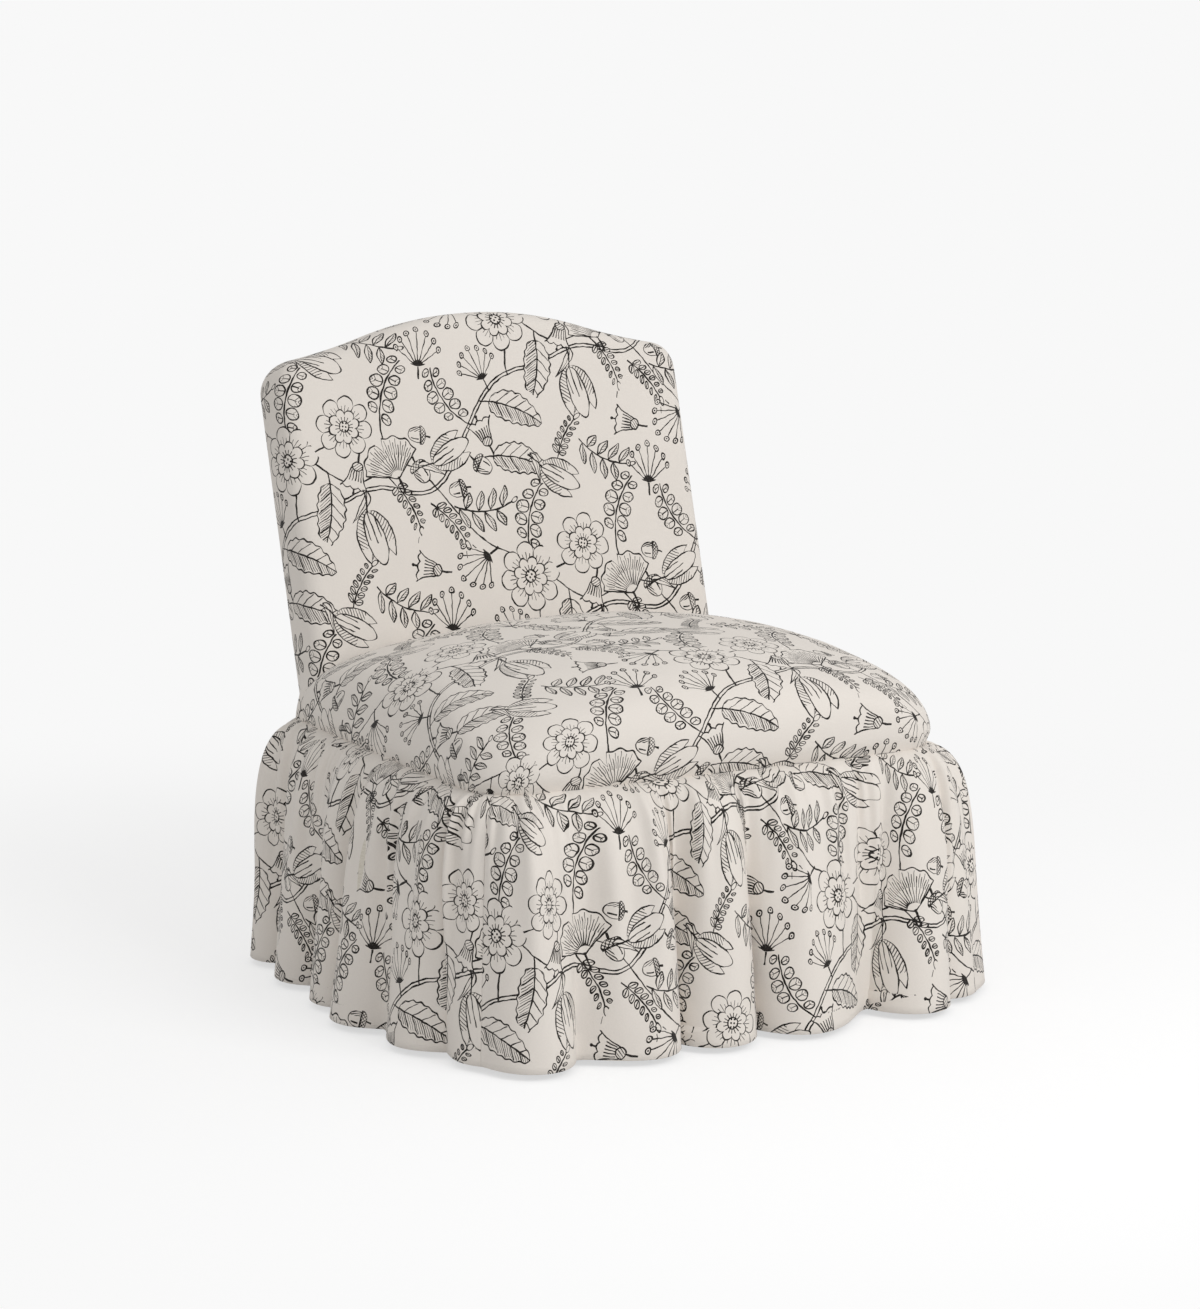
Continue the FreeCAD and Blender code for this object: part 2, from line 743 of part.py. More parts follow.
def skirt_wire(panel, out, swing_share, gather, inner, outer, z):
    """The closed section of a panel at a height, between two layer offsets."""
    front = skirt_ring(panel, out, swing_share, gather, outer, z)
    back = skirt_ring(panel, out, swing_share, gather, inner, z)
    a = front[-1].Vertexes[-1].Point
    b = back[-1].Vertexes[-1].Point
    c = back[0].Vertexes[0].Point
    d = front[0].Vertexes[0].Point
    edges = front + [Part.LineSegment(a, b).toShape()]
    edges += [e.reversed() for e in reversed(back)] + [Part.LineSegment(c, d).toShape()]
    return Part.Wire(edges)


def skirt_panel(panel, inner, outer, hem):
    """One hanging panel: gathered at the head, puffed just below it, folded at the hem."""
    head = seam_height - 1.0
    sections = [(head, 0, 0, gather_depth),
                (head - skirt_puff_drop, skirt_puff, puff_fold_share, gather_depth),
                (hem, skirt_flare, 1, 0)]
    wires = [skirt_wire(panel, out, share, gather, inner, outer, z)
             for z, out, share, gather in sections]
    return Part.makeLoft(wires, True, True)


lining_inner = -tape_inset + clearance + gather_depth
lining_outer = lining_inner + lining_thickness
face_inner = lining_outer + lining_gap
face_outer = face_inner + skirt_thickness

# The finished pieces
write("front_seat_rail", front_rail.cut(rail_cuts))
write("rear_seat_rail", rear_rail.cut(rail_cuts))
write("left_seat_rail", mirrored(side_rail).cut(rail_cuts))
write("right_seat_rail", side_rail.cut(rail_cuts))
write("left_front_leg", mirrored(corner_leg))
write("right_front_leg", corner_leg)
write("left_rear_leg_and_post", mirrored(rear_leg))
write("right_rear_leg_and_post", rear_leg)
write("back_crest_rail", crest_rail.cut(holes_both))
write("back_lower_rail", lower_rail.cut(holes_both))
write("rail_dowels", *dowels)
write("corner_blocks", *blocks)
write("corner_block_screws", *screws)
write("floor_glides", *(glides + [mirrored(g) for g in glides]))
write("glide_nails", *(nails + [mirrored(n) for n in nails]))
write("seat_springs", *springs)
write("spring_clips", *clips)
write("spring_cross_wires", *cross_wires)
write("seat_burlap", seat_burlap)
write("seat_foam", seat_foam)
write("seat_batting", seat_batting)
write("seat_cover", seat_cover)
write("back_webbing", *strips)
write("back_burlap", back_burlap)
write("back_foam", back_foam)
write("back_batting", back_batting)
write("inside_back_cover", inside_cover)
write("outside_back_panel", outside_panel)
write("cambric_dust_cover", cambric)
write("cambric_staples", *staples)
write("skirt_tape", skirt_tape)
write("skirt_lining", *[skirt_panel(name, lining_inner, lining_outer, hem_clearance + lining_short)
                        for name in panels])
for name in panels:
    write("skirt_" + name, skirt_panel(name, face_inner, face_outer, hem_clearance))
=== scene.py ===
import ast
import math
import random

import bpy
import numpy as np
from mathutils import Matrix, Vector, noise


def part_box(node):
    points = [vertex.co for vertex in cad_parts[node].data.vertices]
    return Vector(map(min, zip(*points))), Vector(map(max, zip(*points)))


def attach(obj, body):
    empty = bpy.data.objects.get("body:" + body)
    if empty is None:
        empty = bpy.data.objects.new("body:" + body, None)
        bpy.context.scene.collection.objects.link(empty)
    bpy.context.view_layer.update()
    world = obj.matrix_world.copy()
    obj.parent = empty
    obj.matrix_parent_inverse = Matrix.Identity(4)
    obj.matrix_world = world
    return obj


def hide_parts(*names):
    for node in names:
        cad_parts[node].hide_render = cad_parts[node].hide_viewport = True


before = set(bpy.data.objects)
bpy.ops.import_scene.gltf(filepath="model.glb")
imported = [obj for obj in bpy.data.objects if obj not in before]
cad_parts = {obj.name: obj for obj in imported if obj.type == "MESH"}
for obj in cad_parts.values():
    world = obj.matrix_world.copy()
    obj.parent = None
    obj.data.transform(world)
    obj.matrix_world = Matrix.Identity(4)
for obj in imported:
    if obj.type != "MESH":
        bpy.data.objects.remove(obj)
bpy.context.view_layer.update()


# Hardwood frame
# Rails, legs sawn in one with their posts, back rails, corner blocks and dowels are kiln-dried
# beech, planed but not finished, because the cover hides all of it.

def linear(hex_colour):
    """An sRGB hex colour turned linear, as the shaders take it."""
    parts = [int(hex_colour[i:i + 2], 16) / 255 for i in (1, 3, 5)]
    return tuple(p / 12.92 if p <= 0.04045 else ((p + 0.055) / 1.055) ** 2.4 for p in parts) + (1,)


def add_node(tree, kind, sockets=None, **settings):
    """A node with its settings, each socket set to a value or linked to another node's output."""
    node = tree.nodes.new(kind)
    for name, value in settings.items():
        setattr(node, name, value)
    for key, value in (sockets or {}).items():
        if isinstance(value, bpy.types.NodeSocket):
            tree.links.new(value, node.inputs[key])
        else:
            node.inputs[key].default_value = value
    return node


def new_material(name, sockets):
    """A material with its shader's own sockets set: the material, its node tree, its shader."""
    material = bpy.data.materials.new(name)
    material.use_nodes = True
    tree = material.node_tree
    shader = tree.nodes["Principled BSDF"]
    for key, value in sockets.items():
        shader.inputs[key].default_value = value
    return material, tree, shader


def dress(mesh, material):
    """Gives a mesh one material."""
    mesh.materials.clear()
    mesh.materials.append(material)


def finish_nodes(material, *names):
    """Gives CAD nodes a material, with their shapes as they are."""
    for name in names:
        dress(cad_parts[name].data, material)


def tone_and_relief(tree, shader, value, tones, reach, strength=0.0, height=0.0):
    """Colours a surface from a dark to a light tone as a value rises over its reach, and
    embosses it where a height in metres is given."""
    ramp = add_node(tree, "ShaderNodeValToRGB", {"Fac": value})
    for end, tone, position in zip(ramp.color_ramp.elements, tones, reach):
        end.position = position
        end.color = linear(tone)
    tree.links.new(ramp.outputs[0], shader.inputs["Base Color"])
    if height:
        bump = add_node(tree, "ShaderNodeBump", {"Height": value, "Strength": strength,
                                                 "Distance": height})
        tree.links.new(bump.outputs[0], shader.inputs["Normal"])


beech_tones = ("#A97F58", "#C9A27A")
# Rings are 5.6 mm apart and pores 1 mm, and both are 12 times as long along the grain.
grain_stretch = 12.0
growth_ring = 1 / 180
pore_width = 1 / 960


def planed_beech(name, along):
    """Planed beech: pale rings stretched along the grain, short darker flecks, a dry surface."""
    material, tree, shader = new_material(name, {"Roughness": 0.62, "IOR": 1.5})
    place = add_node(tree, "ShaderNodeTexCoord")
    stretch = [grain_stretch] * 3
    stretch["XYZ".index(along)] = 1.0
    long_way = add_node(tree, "ShaderNodeMapping", {"Vector": place.outputs["Object"],
                                                    "Scale": stretch})
    rings = add_node(tree, "ShaderNodeTexNoise", {"Vector": long_way.outputs[0],
                                                  "Scale": 1 / grain_stretch / growth_ring,
                                                  "Detail": 4.0})
    flecks = add_node(tree, "ShaderNodeTexNoise", {"Vector": long_way.outputs[0],
                                                   "Scale": 1 / grain_stretch / pore_width,
                                                   "Detail": 2.0})
    blend = add_node(tree, "ShaderNodeMath", {0: rings.outputs[0], 1: flecks.outputs[0]},
                     operation="MULTIPLY")
    tone_and_relief(tree, shader, blend.outputs[0], beech_tones, (0.12, 0.38), 0.25, 0.0004)
    return material


beech_across = planed_beech("planed_beech_across", "X")
beech_deep = planed_beech("planed_beech_front_to_back", "Y")
beech_upright = planed_beech("planed_beech_upright", "Z")
finish_nodes(beech_across, "front_seat_rail", "rear_seat_rail", "back_crest_rail",
             "back_lower_rail", "corner_blocks", "rail_dowels")
finish_nodes(beech_deep, "left_seat_rail", "right_seat_rail")
finish_nodes(beech_upright, "left_front_leg", "right_front_leg",
             "left_rear_leg_and_post", "right_rear_leg_and_post")


# Screws, glide nails and staples
# Small steel fixings with a bright zinc plating, drawn or headed cold, so they are smooth with
# a faint cloudiness where the plating lies.

def metal(name, tones, roughness, cloud):
    """A metal with a cloudy surface: its colour and roughness drift over a few millimetres."""
    material, tree, shader = new_material(name, {"Metallic": 1.0})
    place = add_node(tree, "ShaderNodeTexCoord")
    clouds = add_node(tree, "ShaderNodeTexNoise", {"Vector": place.outputs["Object"],
                                                   "Scale": 1 / cloud, "Detail": 5.0})
    tone_and_relief(tree, shader, clouds.outputs[0], tones, (0.3, 0.7))
    gloss = add_node(tree, "ShaderNodeMapRange", {"Value": clouds.outputs[0],
                                                  "To Min": roughness * 0.75,
                                                  "To Max": roughness * 1.25})
    tree.links.new(gloss.outputs[0], shader.inputs["Roughness"])
    return material


zinc_plate = metal("bright_zinc_plated_steel", ("#9DA2A6", "#C4C7C9"),
                   roughness=0.36, cloud=0.006)
finish_nodes(zinc_plate, "corner_block_screws", "glide_nails", "cambric_staples")


# Floor glides
# Four moulded nylon discs nailed under the legs. The nylon is off-white and a little waxy, with
# the fine texture of the mould.

mould_grain = 0.0009

nylon, nylon_tree, nylon_shader = new_material("moulded_nylon", {
    "Base Color": linear("#DAD6CA"), "Roughness": 0.42, "IOR": 1.53,
    "Subsurface Weight": 0.1, "Subsurface Scale": 0.002})
nylon_place = add_node(nylon_tree, "ShaderNodeTexCoord")
mould_texture = add_node(nylon_tree, "ShaderNodeTexNoise", {
    "Vector": nylon_place.outputs["Object"], "Scale": 1 / mould_grain, "Detail": 2.0})
mould_bump = add_node(nylon_tree, "ShaderNodeBump", {
    "Height": mould_texture.outputs[0], "Strength": 0.2, "Distance": 0.0002})
nylon_tree.links.new(mould_bump.outputs[0], nylon_shader.inputs["Normal"])
finish_nodes(nylon, "floor_glides")


# Seat springs
# Sinuous springs of oil-tempered wire, held in clips on the rails and tied by two straight
# cross wires. The wire is dark, with a thin oily sheen.

tempered_wire = metal("oil_tempered_spring_wire", ("#3A393B", "#5B5A5C"),
                      roughness=0.34, cloud=0.01)
finish_nodes(tempered_wire, "seat_springs", "spring_cross_wires")
finish_nodes(zinc_plate, "spring_clips")


# Webbing and burlap
# Jute: coarse brown yarn, woven plain, with a dull and hairy look. The webbing is tight and
# stretches across the posts; the burlap is open, under the seat's foam and behind the back's.

formula_steps = {
    ast.Add: "ADD", ast.Sub: "SUBTRACT", ast.Mult: "MULTIPLY", ast.Div: "DIVIDE",
    ast.Pow: "POWER", ast.Mod: "FLOORED_MODULO", ast.Lt: "LESS_THAN", ast.Gt: "GREATER_THAN",
    "abs": "ABSOLUTE", "min": "MINIMUM", "max": "MAXIMUM", "floor": "FLOOR", "sqrt": "SQRT",
    "sin": "SINE", "cos": "COSINE", "atan2": "ARCTAN2"}


def draw(tree, drawing, known):
    """Follows a drawing written as formulas, one node for each step. Adds to what is known."""
    def value(part):
        """What one part of a formula comes to: a number or a node's output."""
        if isinstance(part, ast.Constant):
            return float(part.value)
        if isinstance(part, ast.Name):
            return known[part.id]
        if isinstance(part, ast.UnaryOp):
            return -value(part.operand)
        if isinstance(part, ast.BinOp):
            step, parts = formula_steps[type(part.op)], (part.left, part.right)
        elif isinstance(part, ast.Compare):
            step, parts = formula_steps[type(part.ops[0])], (part.left, part.comparators[0])
        else:
            step, parts = formula_steps[part.func.id], part.args
        values = [value(p) for p in parts]
        return add_node(tree, "ShaderNodeMath", dict(enumerate(values)), operation=step).outputs[0]

    for line in ast.parse(drawing).body:
        known[line.targets[0].id] = value(line.value)
    return known


def woven(name, pitch, tones, roughness, height, plane="XY"):
    """A plain-woven cloth: threads that go over and under at their pitch in metres, as colour and
    bump, on the object's own coordinates in the plane that the cloth lies in."""
    material, tree, shader = new_material(name, {"Roughness": roughness, "IOR": 1.45})
    place = add_node(tree, "ShaderNodeTexCoord")
    axes = add_node(tree, "ShaderNodeSeparateXYZ", {"Vector": place.outputs["Object"]})
    across, along = [axes.outputs["XYZ".index(axis)] for axis in plane]
    flat = add_node(tree, "ShaderNodeCombineXYZ", {0: across, 1: along})
    slubs = add_node(tree, "ShaderNodeTexNoise", {"Vector": flat.outputs[0],
                                                  "Scale": 0.35 / pitch, "Detail": 4.0})
    relief = draw(tree, "relief = sin(x * turn) * sin(y * turn) * 0.35 + slubs", {
        "x": across, "y": along, "turn": math.pi / pitch, "slubs": slubs.outputs[0]})["relief"]
    tone_and_relief(tree, shader, relief, tones, (0.15, 0.8), 0.6, height)
    return material


jute_webbing = woven("woven_jute_webbing", 0.0022, ("#7E6240", "#B39466"), 0.85, 0.0006, "XZ")
finish_nodes(jute_webbing, "back_webbing")


def grid_mesh(name, points, faces, maps=None):
    """A mesh object from points and faces, with its cloth map in metres."""
    mesh = bpy.data.meshes.new(name)
    mesh.from_pydata([tuple(p) for p in points], [], faces)
    mesh.update()
    piece = bpy.data.objects.new(name, mesh)
    bpy.context.scene.collection.objects.link(piece)
    if maps is not None:
        layer = mesh.uv_layers.new(name="cloth")
        for loop in mesh.loops:
            layer.data[loop.index].uv = maps[loop.vertex_index]
    mesh.shade_smooth()
    return piece


def thicken(piece, thickness, levels=0):
    """Subdivides a piece and gives it its cloth's thickness, on the inner side."""
    if levels:
        finer = piece.modifiers.new("finer", "SUBSURF")
        finer.levels = finer.render_levels = levels
    cloth = piece.modifiers.new("thickness", "SOLIDIFY")
    cloth.thickness = thickness
    cloth.offset = -1.0
    graph = bpy.context.evaluated_depsgraph_get()
    piece_mesh = bpy.data.meshes.new_from_object(piece.evaluated_get(graph))
    piece.modifiers.clear()
    piece.data = piece_mesh
    piece_mesh.shade_smooth()


def fit(piece, slot, material, *nodes):
    """The piece rides on the chair, takes its finish from a material and stands for CAD nodes. Its
    slot is not used.
    """
    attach(piece, "root")
    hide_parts(*nodes)
    dress(piece.data, material)


def grid_faces(columns, rows):
    """The faces of a grid of this many columns and rows of points, numbered row by row."""
    return [(k, k + 1, k + columns + 1, k + columns) for j in range(rows - 1)
            for k in range(j * columns, (j + 1) * columns - 1)]


def cloth_grid(name, place, columns, rows, keep=None):
    """A grid of cloth, laid by a function of how far across and along each point is."""
    points = [place(i / columns, j / rows) for j in range(rows + 1) for i in range(columns + 1)]
    faces = [face for face in grid_faces(columns + 1, rows + 1)
             if keep is None or keep((face[0] % (columns + 1) + 0.5) / columns,
                                     (face[0] // (columns + 1) + 0.5) / rows)]
    used = sorted({k for face in faces for k in face})
    number = {k: n for n, k in enumerate(used)}
    return grid_mesh(name, [points[k] for k in used],
                     [tuple(number[k] for k in face) for face in faces])


def between(low, high, share):
    """The place at a share of the way from low to high."""
    return low + (high - low) * share


burlap_low, burlap_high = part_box("seat_burlap")
burlap_thickness = burlap_high.z - burlap_low.z
padding_corner = 0.06
frame_rear_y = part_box("left_rear_leg_and_post")[0].y
frame_inner_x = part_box("right_rear_leg_and_post")[0].x


def seat_burlap_at(s, t):
    """Flat on the springs."""
    return Vector((between(burlap_low.x, burlap_high.x, s),
                   between(burlap_low.y, burlap_high.y, t), burlap_high.z - 0.0002))


def burlap_corners(s, t):
    """Leaves the padding's rounded corners in front and the posts behind free."""
    y = between(burlap_low.y, burlap_high.y, t)
    across = abs(s - 0.5) * (burlap_high.x - burlap_low.x)
    past = max(0.0, across - (burlap_high.x - padding_corner))
    ahead = max(0.0, burlap_low.y + padding_corner - y)
    at_post = y > frame_rear_y and across > frame_inner_x
    return math.hypot(past, ahead) < padding_corner and not at_post


jute_yarn = (0.0016, ("#6F5636", "#B79A6C"), 0.9, 0.0005)
seat_burlap = cloth_grid("seat_burlap_sheet", seat_burlap_at, 60, 54, burlap_corners)
thicken(seat_burlap, burlap_thickness * 0.8)
fit(seat_burlap, "burlap", woven("open_jute_burlap", *jute_yarn), "seat_burlap")

back_rake = math.radians(16.5)
back_low, back_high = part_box("back_burlap")
back_rise = (back_high.z - back_low.z) / math.cos(back_rake)


def back_burlap_at(s, t):
    """Flat behind the foam, up the rake, lower at its sides as the crest is."""
    x = between(back_low.x, back_high.x, s)
    crest = 1 - 0.13 * (2 * s - 1) ** 2
    return Vector((x, back_low.y + 0.0004 + back_rise * t * crest * math.sin(back_rake),
                   back_low.z + back_rise * t * crest * math.cos(back_rake)))


back_burlap = cloth_grid("back_burlap_sheet", back_burlap_at, 40, 36)
thicken(back_burlap, 0.0008)
fit(back_burlap, "burlap", woven("open_jute_burlap_on_the_back", *jute_yarn, "XZ"),
    "back_burlap")


# Seat padding
# A block of pale foam, matt with fine cells, under a layer of white polyester batting whose
# fibres blur its surface. Both are crowned and glued, and end at the seam above the skirt.

# The seam runs round the tape's outline, and the crown rises over it
tape_low, tape_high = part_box("skirt_tape")
tape_inset = 0.0027
seam_half = tape_high.x + tape_inset
seam_front = tape_low.y - tape_inset
seam_rear = tape_high.y + tape_inset
seam_height = tape_high.z + 0.001
seat_middle = (seam_front + seam_rear) / 2
half_depth = (seam_rear - seam_front) / 2
seat_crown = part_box("seat_cover")[1].z - seam_height
crown_forward = 0.030
crown_roundness = 3.1
corner_softening = 2.0
seam_front_radius = 0.065
seam_rear_radius = 0.052
roundest_corner = 0.94
least_half = 1e-5
seam_draw_in = 0.005
draw_in_height = 0.012

# The seat ends at the front of the back, and turns round the back's edge beside it
back_thickness = 0.084
rake_tangent = math.tan(back_rake)
crevice_round = 0.009
crevice_gap = 0.0015
back_turn = 0.024
back_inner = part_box("inside_back_cover")[1].x - back_turn
notch_share = 0.75

# Lumps of the filling come every 110 and 50 mm, and puckers run up from the seam
lump_scale = 9.0
fine_lump_scale = 21.0
pucker_scale = 55.0
pucker_reach = 0.022
pucker_fade = 12.0
pucker_seed = 3.7


def outline_points(half_x, half_y, front_radius, rear_radius, count):
    """A rounded rectangle about the origin, count points a side from corner middle to corner
    middle, from the front left anticlockwise. Gives the points and their outward directions."""
    corners = [(-1, -1, front_radius), (1, -1, front_radius), (1, 1, rear_radius),
               (-1, 1, rear_radius)]
    points, outward = [], []
    for side, (sx, sy, radius) in enumerate(corners):
        nx, ny, next_radius = corners[(side + 1) % 4]
        centre = np.array([sx * (half_x - radius), sy * (half_y - radius)])
        next_centre = np.array([nx * (half_x - next_radius), ny * (half_y - next_radius)])
        facing = math.radians(-90 + 90 * side)
        square = np.array([math.cos(facing), math.sin(facing)])
        start, end = centre + square * radius, next_centre + square * next_radius
        straight = max(np.linalg.norm(end - start), 1e-9)
        first, last = radius * math.pi / 4, next_radius * math.pi / 4
        for step in range(count):
            run = (first + straight + last) * step / count
            if run < first:
                angle = facing - math.pi / 4 + run / radius
                normal = np.array([math.cos(angle), math.sin(angle)])
                point = centre + normal * radius
            elif run <= first + straight:
                normal = square
                point = start + (end - start) * (run - first) / straight
            else:
                angle = facing + (run - first - straight) / next_radius
                normal = np.array([math.cos(angle), math.sin(angle)])
                point = next_centre + normal * next_radius
            points.append(point)
            outward.append(normal)
    return np.array(points), np.array(outward)


def crown_section(share, inset):
    """Half sizes, corner radii and middle of the seat's outline at a share of its crown."""
    shrink = (1 - share ** crown_roundness) ** (1 / crown_roundness)
    height = share * (seat_crown - inset)
    draw_in = seam_draw_in * max(0.0, 1 - height / draw_in_height) ** 2
    half_x = max((seam_half - inset) * shrink - draw_in, least_half)
    half_y = max((half_depth - inset) * shrink - draw_in, least_half)
    softening = share ** corner_softening
    most = roundest_corner * min(half_x, half_y)
    front = seam_front_radius - inset
    rear = seam_rear_radius - inset
    front = min(most, front + (half_depth - inset - front) * softening)
    rear = min(most, rear + (half_depth - inset - rear) * softening)
    return half_x, half_y, front, rear, seat_middle - crown_forward * share


def back_front(height):
    """How far back the front of the back stands at a height."""
    return (seam_rear - back_thickness / math.cos(back_rake)
            + (height - seam_height) * rake_tangent)


def soft_least(value, limit, rounding):
    """The smaller of two numbers, with the turn between them rounded."""
    mix = max(rounding - abs(value - limit), 0.0) / rounding
    return min(value, limit) - mix * mix * rounding / 4


def square_rings(count):
    """The faces of a square grid whose points are numbered ring by ring from its middle."""
    index = {}
    for ring in range(count + 1):
        if ring == 0:
            cells = [(0, 0)]
        else:
            cells = [(i, -ring) for i in range(-ring, ring)]
            cells += [(ring, j) for j in range(-ring, ring)]
            cells += [(i, ring) for i in range(ring, -ring, -1)]
            cells += [(-ring, j) for j in range(ring, -ring, -1)]
        for cell in cells:
            index[cell] = len(index)
    return [(index[i, j], index[i + 1, j], index[i + 1, j + 1], index[i, j + 1])
            for i in range(-count, count) for j in range(-count, count)]


def seat_shell(inset, rings, fullness, pucker=0.0):
    """The crowned seat as an open shell down to the seam, with its cloth map."""
    points, maps = [], []
    travel, last = 0.0, None
    for ring in range(rings + 1):
        angle = math.pi / 2 * (ring / rings)
        share = math.cos(angle) ** (2 / crown_roundness) if ring < rings else 0.0
        half_x, half_y, front, rear, middle = crown_section(share, inset)
        height = seam_height + share * (seat_crown - inset)
        if last is not None:
            travel += math.hypot(half_x - last[0], height - last[1])
        last = (half_x, height)
        if ring == 0:
            plan, outward = np.zeros((1, 2)), np.zeros((1, 2))
        else:
            plan, outward = outline_points(half_x, half_y, front, rear, 2 * ring)
        extra = travel - half_x if ring else 0.0
        near_seam = math.exp(-(height - seam_height) / pucker_reach)
        for (x, y), (nx, ny) in zip(plan, outward):
            place = Vector((x, y + middle, height))
            soft = (noise.noise(place * lump_scale)
                    + 0.5 * noise.noise(place * fine_lump_scale))
            lift = fullness * soft * math.sin(angle * 2)
            round_it = math.atan2(ny, nx) * seam_front_radius * 2 + x + y
            pull = noise.noise(Vector((round_it * pucker_scale, pucker_seed,
                                       height * pucker_fade)))
            at_corner = abs(nx * ny) * 2
            lift += pucker * pull * near_seam * (0.35 + 1.3 * at_corner)
            place += Vector((nx, ny, 0.6)) * lift
            beside = min(max(abs(place.x) - back_inner + inset, 0.0), back_turn)
            notch = back_turn - math.sqrt(max(back_turn ** 2 - beside ** 2, 0.0))
            limit = back_front(place.z) - crevice_gap - inset + notch_share * notch
            place.y = soft_least(place.y, limit, crevice_round)
            points.append(place)
            maps.append((x + nx * extra, y + ny * extra))
    return points, square_rings(rings), maps


def close_under(points, faces, maps, rings):
    """Closes a shell from below with a flat floor at its edge's height."""
    first = len(points)
    floor = points[-1].z
    total = sum(8 * ring for ring in range(1, rings)) + 1
    for k in range(total):
        points.append(Vector((points[k].x, points[k].y, floor)))
        maps.append(maps[k])
    outer = first - 8 * rings
    for face in square_rings(rings):
        turned = [first + k if k < total else outer + k - total for k in reversed(face)]
        faces.append(tuple(turned))


def soft_filling(name, tones, cell, roughness, height):
    """Foam or batting: a colour and a relief that change over the size of its cells or fibres."""
    material, tree, shader = new_material(name, {"Roughness": roughness, "IOR": 1.4})
    place = add_node(tree, "ShaderNodeTexCoord")
    cells = add_node(tree, "ShaderNodeTexNoise", {"Vector": place.outputs["Object"],
                                                  "Scale": 1 / cell, "Detail": 4.0})
    tone_and_relief(tree, shader, cells.outputs[0], tones, (0.35, 0.65), 0.6, height)
    return material


upholstery_foam = soft_filling("upholstery_foam", ("#DCCFA6", "#EFE6C8"), 0.0012, 0.9, 0.0004)
polyester_batting = soft_filling("polyester_batting", ("#DEDAD1", "#F3F1EC"), 0.003, 0.95, 0.001)
pad_rings = 24
batting_inset = 0.0023
batting_thickness = 0.008
foam_inset = batting_inset + batting_thickness + 0.0003

seat_foam_shell = seat_shell(foam_inset, pad_rings, 0.0)
close_under(*seat_foam_shell, pad_rings)
seat_foam = grid_mesh("seat_foam_block", *seat_foam_shell)
fit(seat_foam, "foam", upholstery_foam, "seat_foam")

seat_wadding = grid_mesh("seat_batting_wrap", *seat_shell(batting_inset, pad_rings, 0.0004))
thicken(seat_wadding, batting_thickness - 0.0005)
fit(seat_wadding, "batting", polyester_batting, "seat_batting")


# Printed cotton
# The cloth of the covers and the skirt: a mid-weight plain-woven cotton, ivory and matt,
# printed in one dark ink with stems, flowers, leaves and seed heads in a half-drop repeat.

# The print is drawn in millimetres on each piece's own cloth map, so it turns and gathers with
# the cloth. The repeat's columns are dropped by half its height, and pen_half is half a line.
# The stems' formulas have 0.51515, half the height over the width, and 0.01904, a full turn
# over the width, so that they join from one repeat to the next.
repeat_width = 330.0
repeat_height = 340.0
pen_half = 0.92

repeat_drawing = """
column = floor(x / width)
x = x - column * width
y = (y - column * drop) % height
"""
double_stem_drawing = """
line = y - 40 - 0.51515 * x - 34 * sin(0.01904 * x + 0.6) - 12 * sin(0.03808 * x + 2)
near = ((line + drop) % height) - drop
lean = 0.51515 + 0.6473 * cos(0.01904 * x + 0.6) + 0.457 * cos(0.03808 * x + 2)
near = near / sqrt(1 + lean * lean)
ink = abs(abs(near) - 2.2) < pen
"""
single_stem_drawing = """
line = y - 205 + 0.51515 * x - 26 * sin(0.01904 * x + 3.9) - 14 * sin(0.03808 * x + 0.4)
near = ((line + drop) % height) - drop
lean = 0.495 * cos(0.01904 * x + 3.9) + 0.533 * cos(0.03808 * x + 0.4) - 0.51515
near = near / sqrt(1 + lean * lean)
ink = max(ink, abs(near) < pen)
"""

# Each motif is drawn in a circle of radius 1 with its foot at the bottom: u is across, v up and
# w half a line. Its places are (across, up, turn in degrees, radius).
coin_sprig_drawing = """
bend = u - 0.3 * v * v + 0.12
shift = v + 0.15 * (bend > 0)
number = floor(shift / 0.3)
row = abs(shift - 0.3 * number - 0.15)
size = 0.165 - 0.028 * abs(number + 0.3)
out = abs(bend) - size - 0.055
coin = sqrt(out * out + row * row * 1.25) - size
there = (number > 0 - 2.5) * (number < 2.5)
vein = (row < 0.7 * w) * (out < 0.05) * (coin < 0)
shade = (abs(sin(36 * (out - row))) < 17 * w) * (out > 0.02) * (coin < 0)
twig = (abs(bend) < 1.2 * w) * (v < 0.8)
solid = (coin < 0) * there
ink = max(max(max(abs(coin) < w, vein), shade) * there, twig * (1 - solid))
"""
coin_sprig_places = [[261, 230, 30, 53], [39, 238, -20, 58], [177, 240, -25, 59]]

olive_twig_drawing = """
bend = u + 0.25 * v * v - 0.1
shift = v + 0.19 * (bend > 0)
number = floor(shift / 0.38)
row = shift - 0.38 * number - 0.16
out = abs(bend)
reach = 0.56 - 0.05 * abs(number + 0.4)
t = min(max((out - 0.02) / reach, 0), 1)
lean = row - 0.42 * out + 0.1
edge = abs(lean) - 0.12 * sin(3.1416 * t)
there = (number > 0 - 2.5) * (number < 1.5)
vein = (abs(lean) < 0.7 * w) * (t < 0.85)
half = (abs(sin(34 * (out - lean))) < 19 * w) * (lean > 0) * (edge < 0)
twig = (abs(bend) < 1.2 * w) * (v < 0.86)
bud = sqrt(bend * bend * 3 + (v - 0.87) ** 2) - 0.1
leaf = (t < 1) * there
solid = max((edge < 0) * leaf, bud < 0)
lines = max(max(abs(edge) < w, vein), half) * leaf
ink = max(max(lines, twig * (1 - solid)), abs(bud) < w)
"""
olive_twig_places = [[302, 84, -86, 48], [165, 309, -113, 46]]

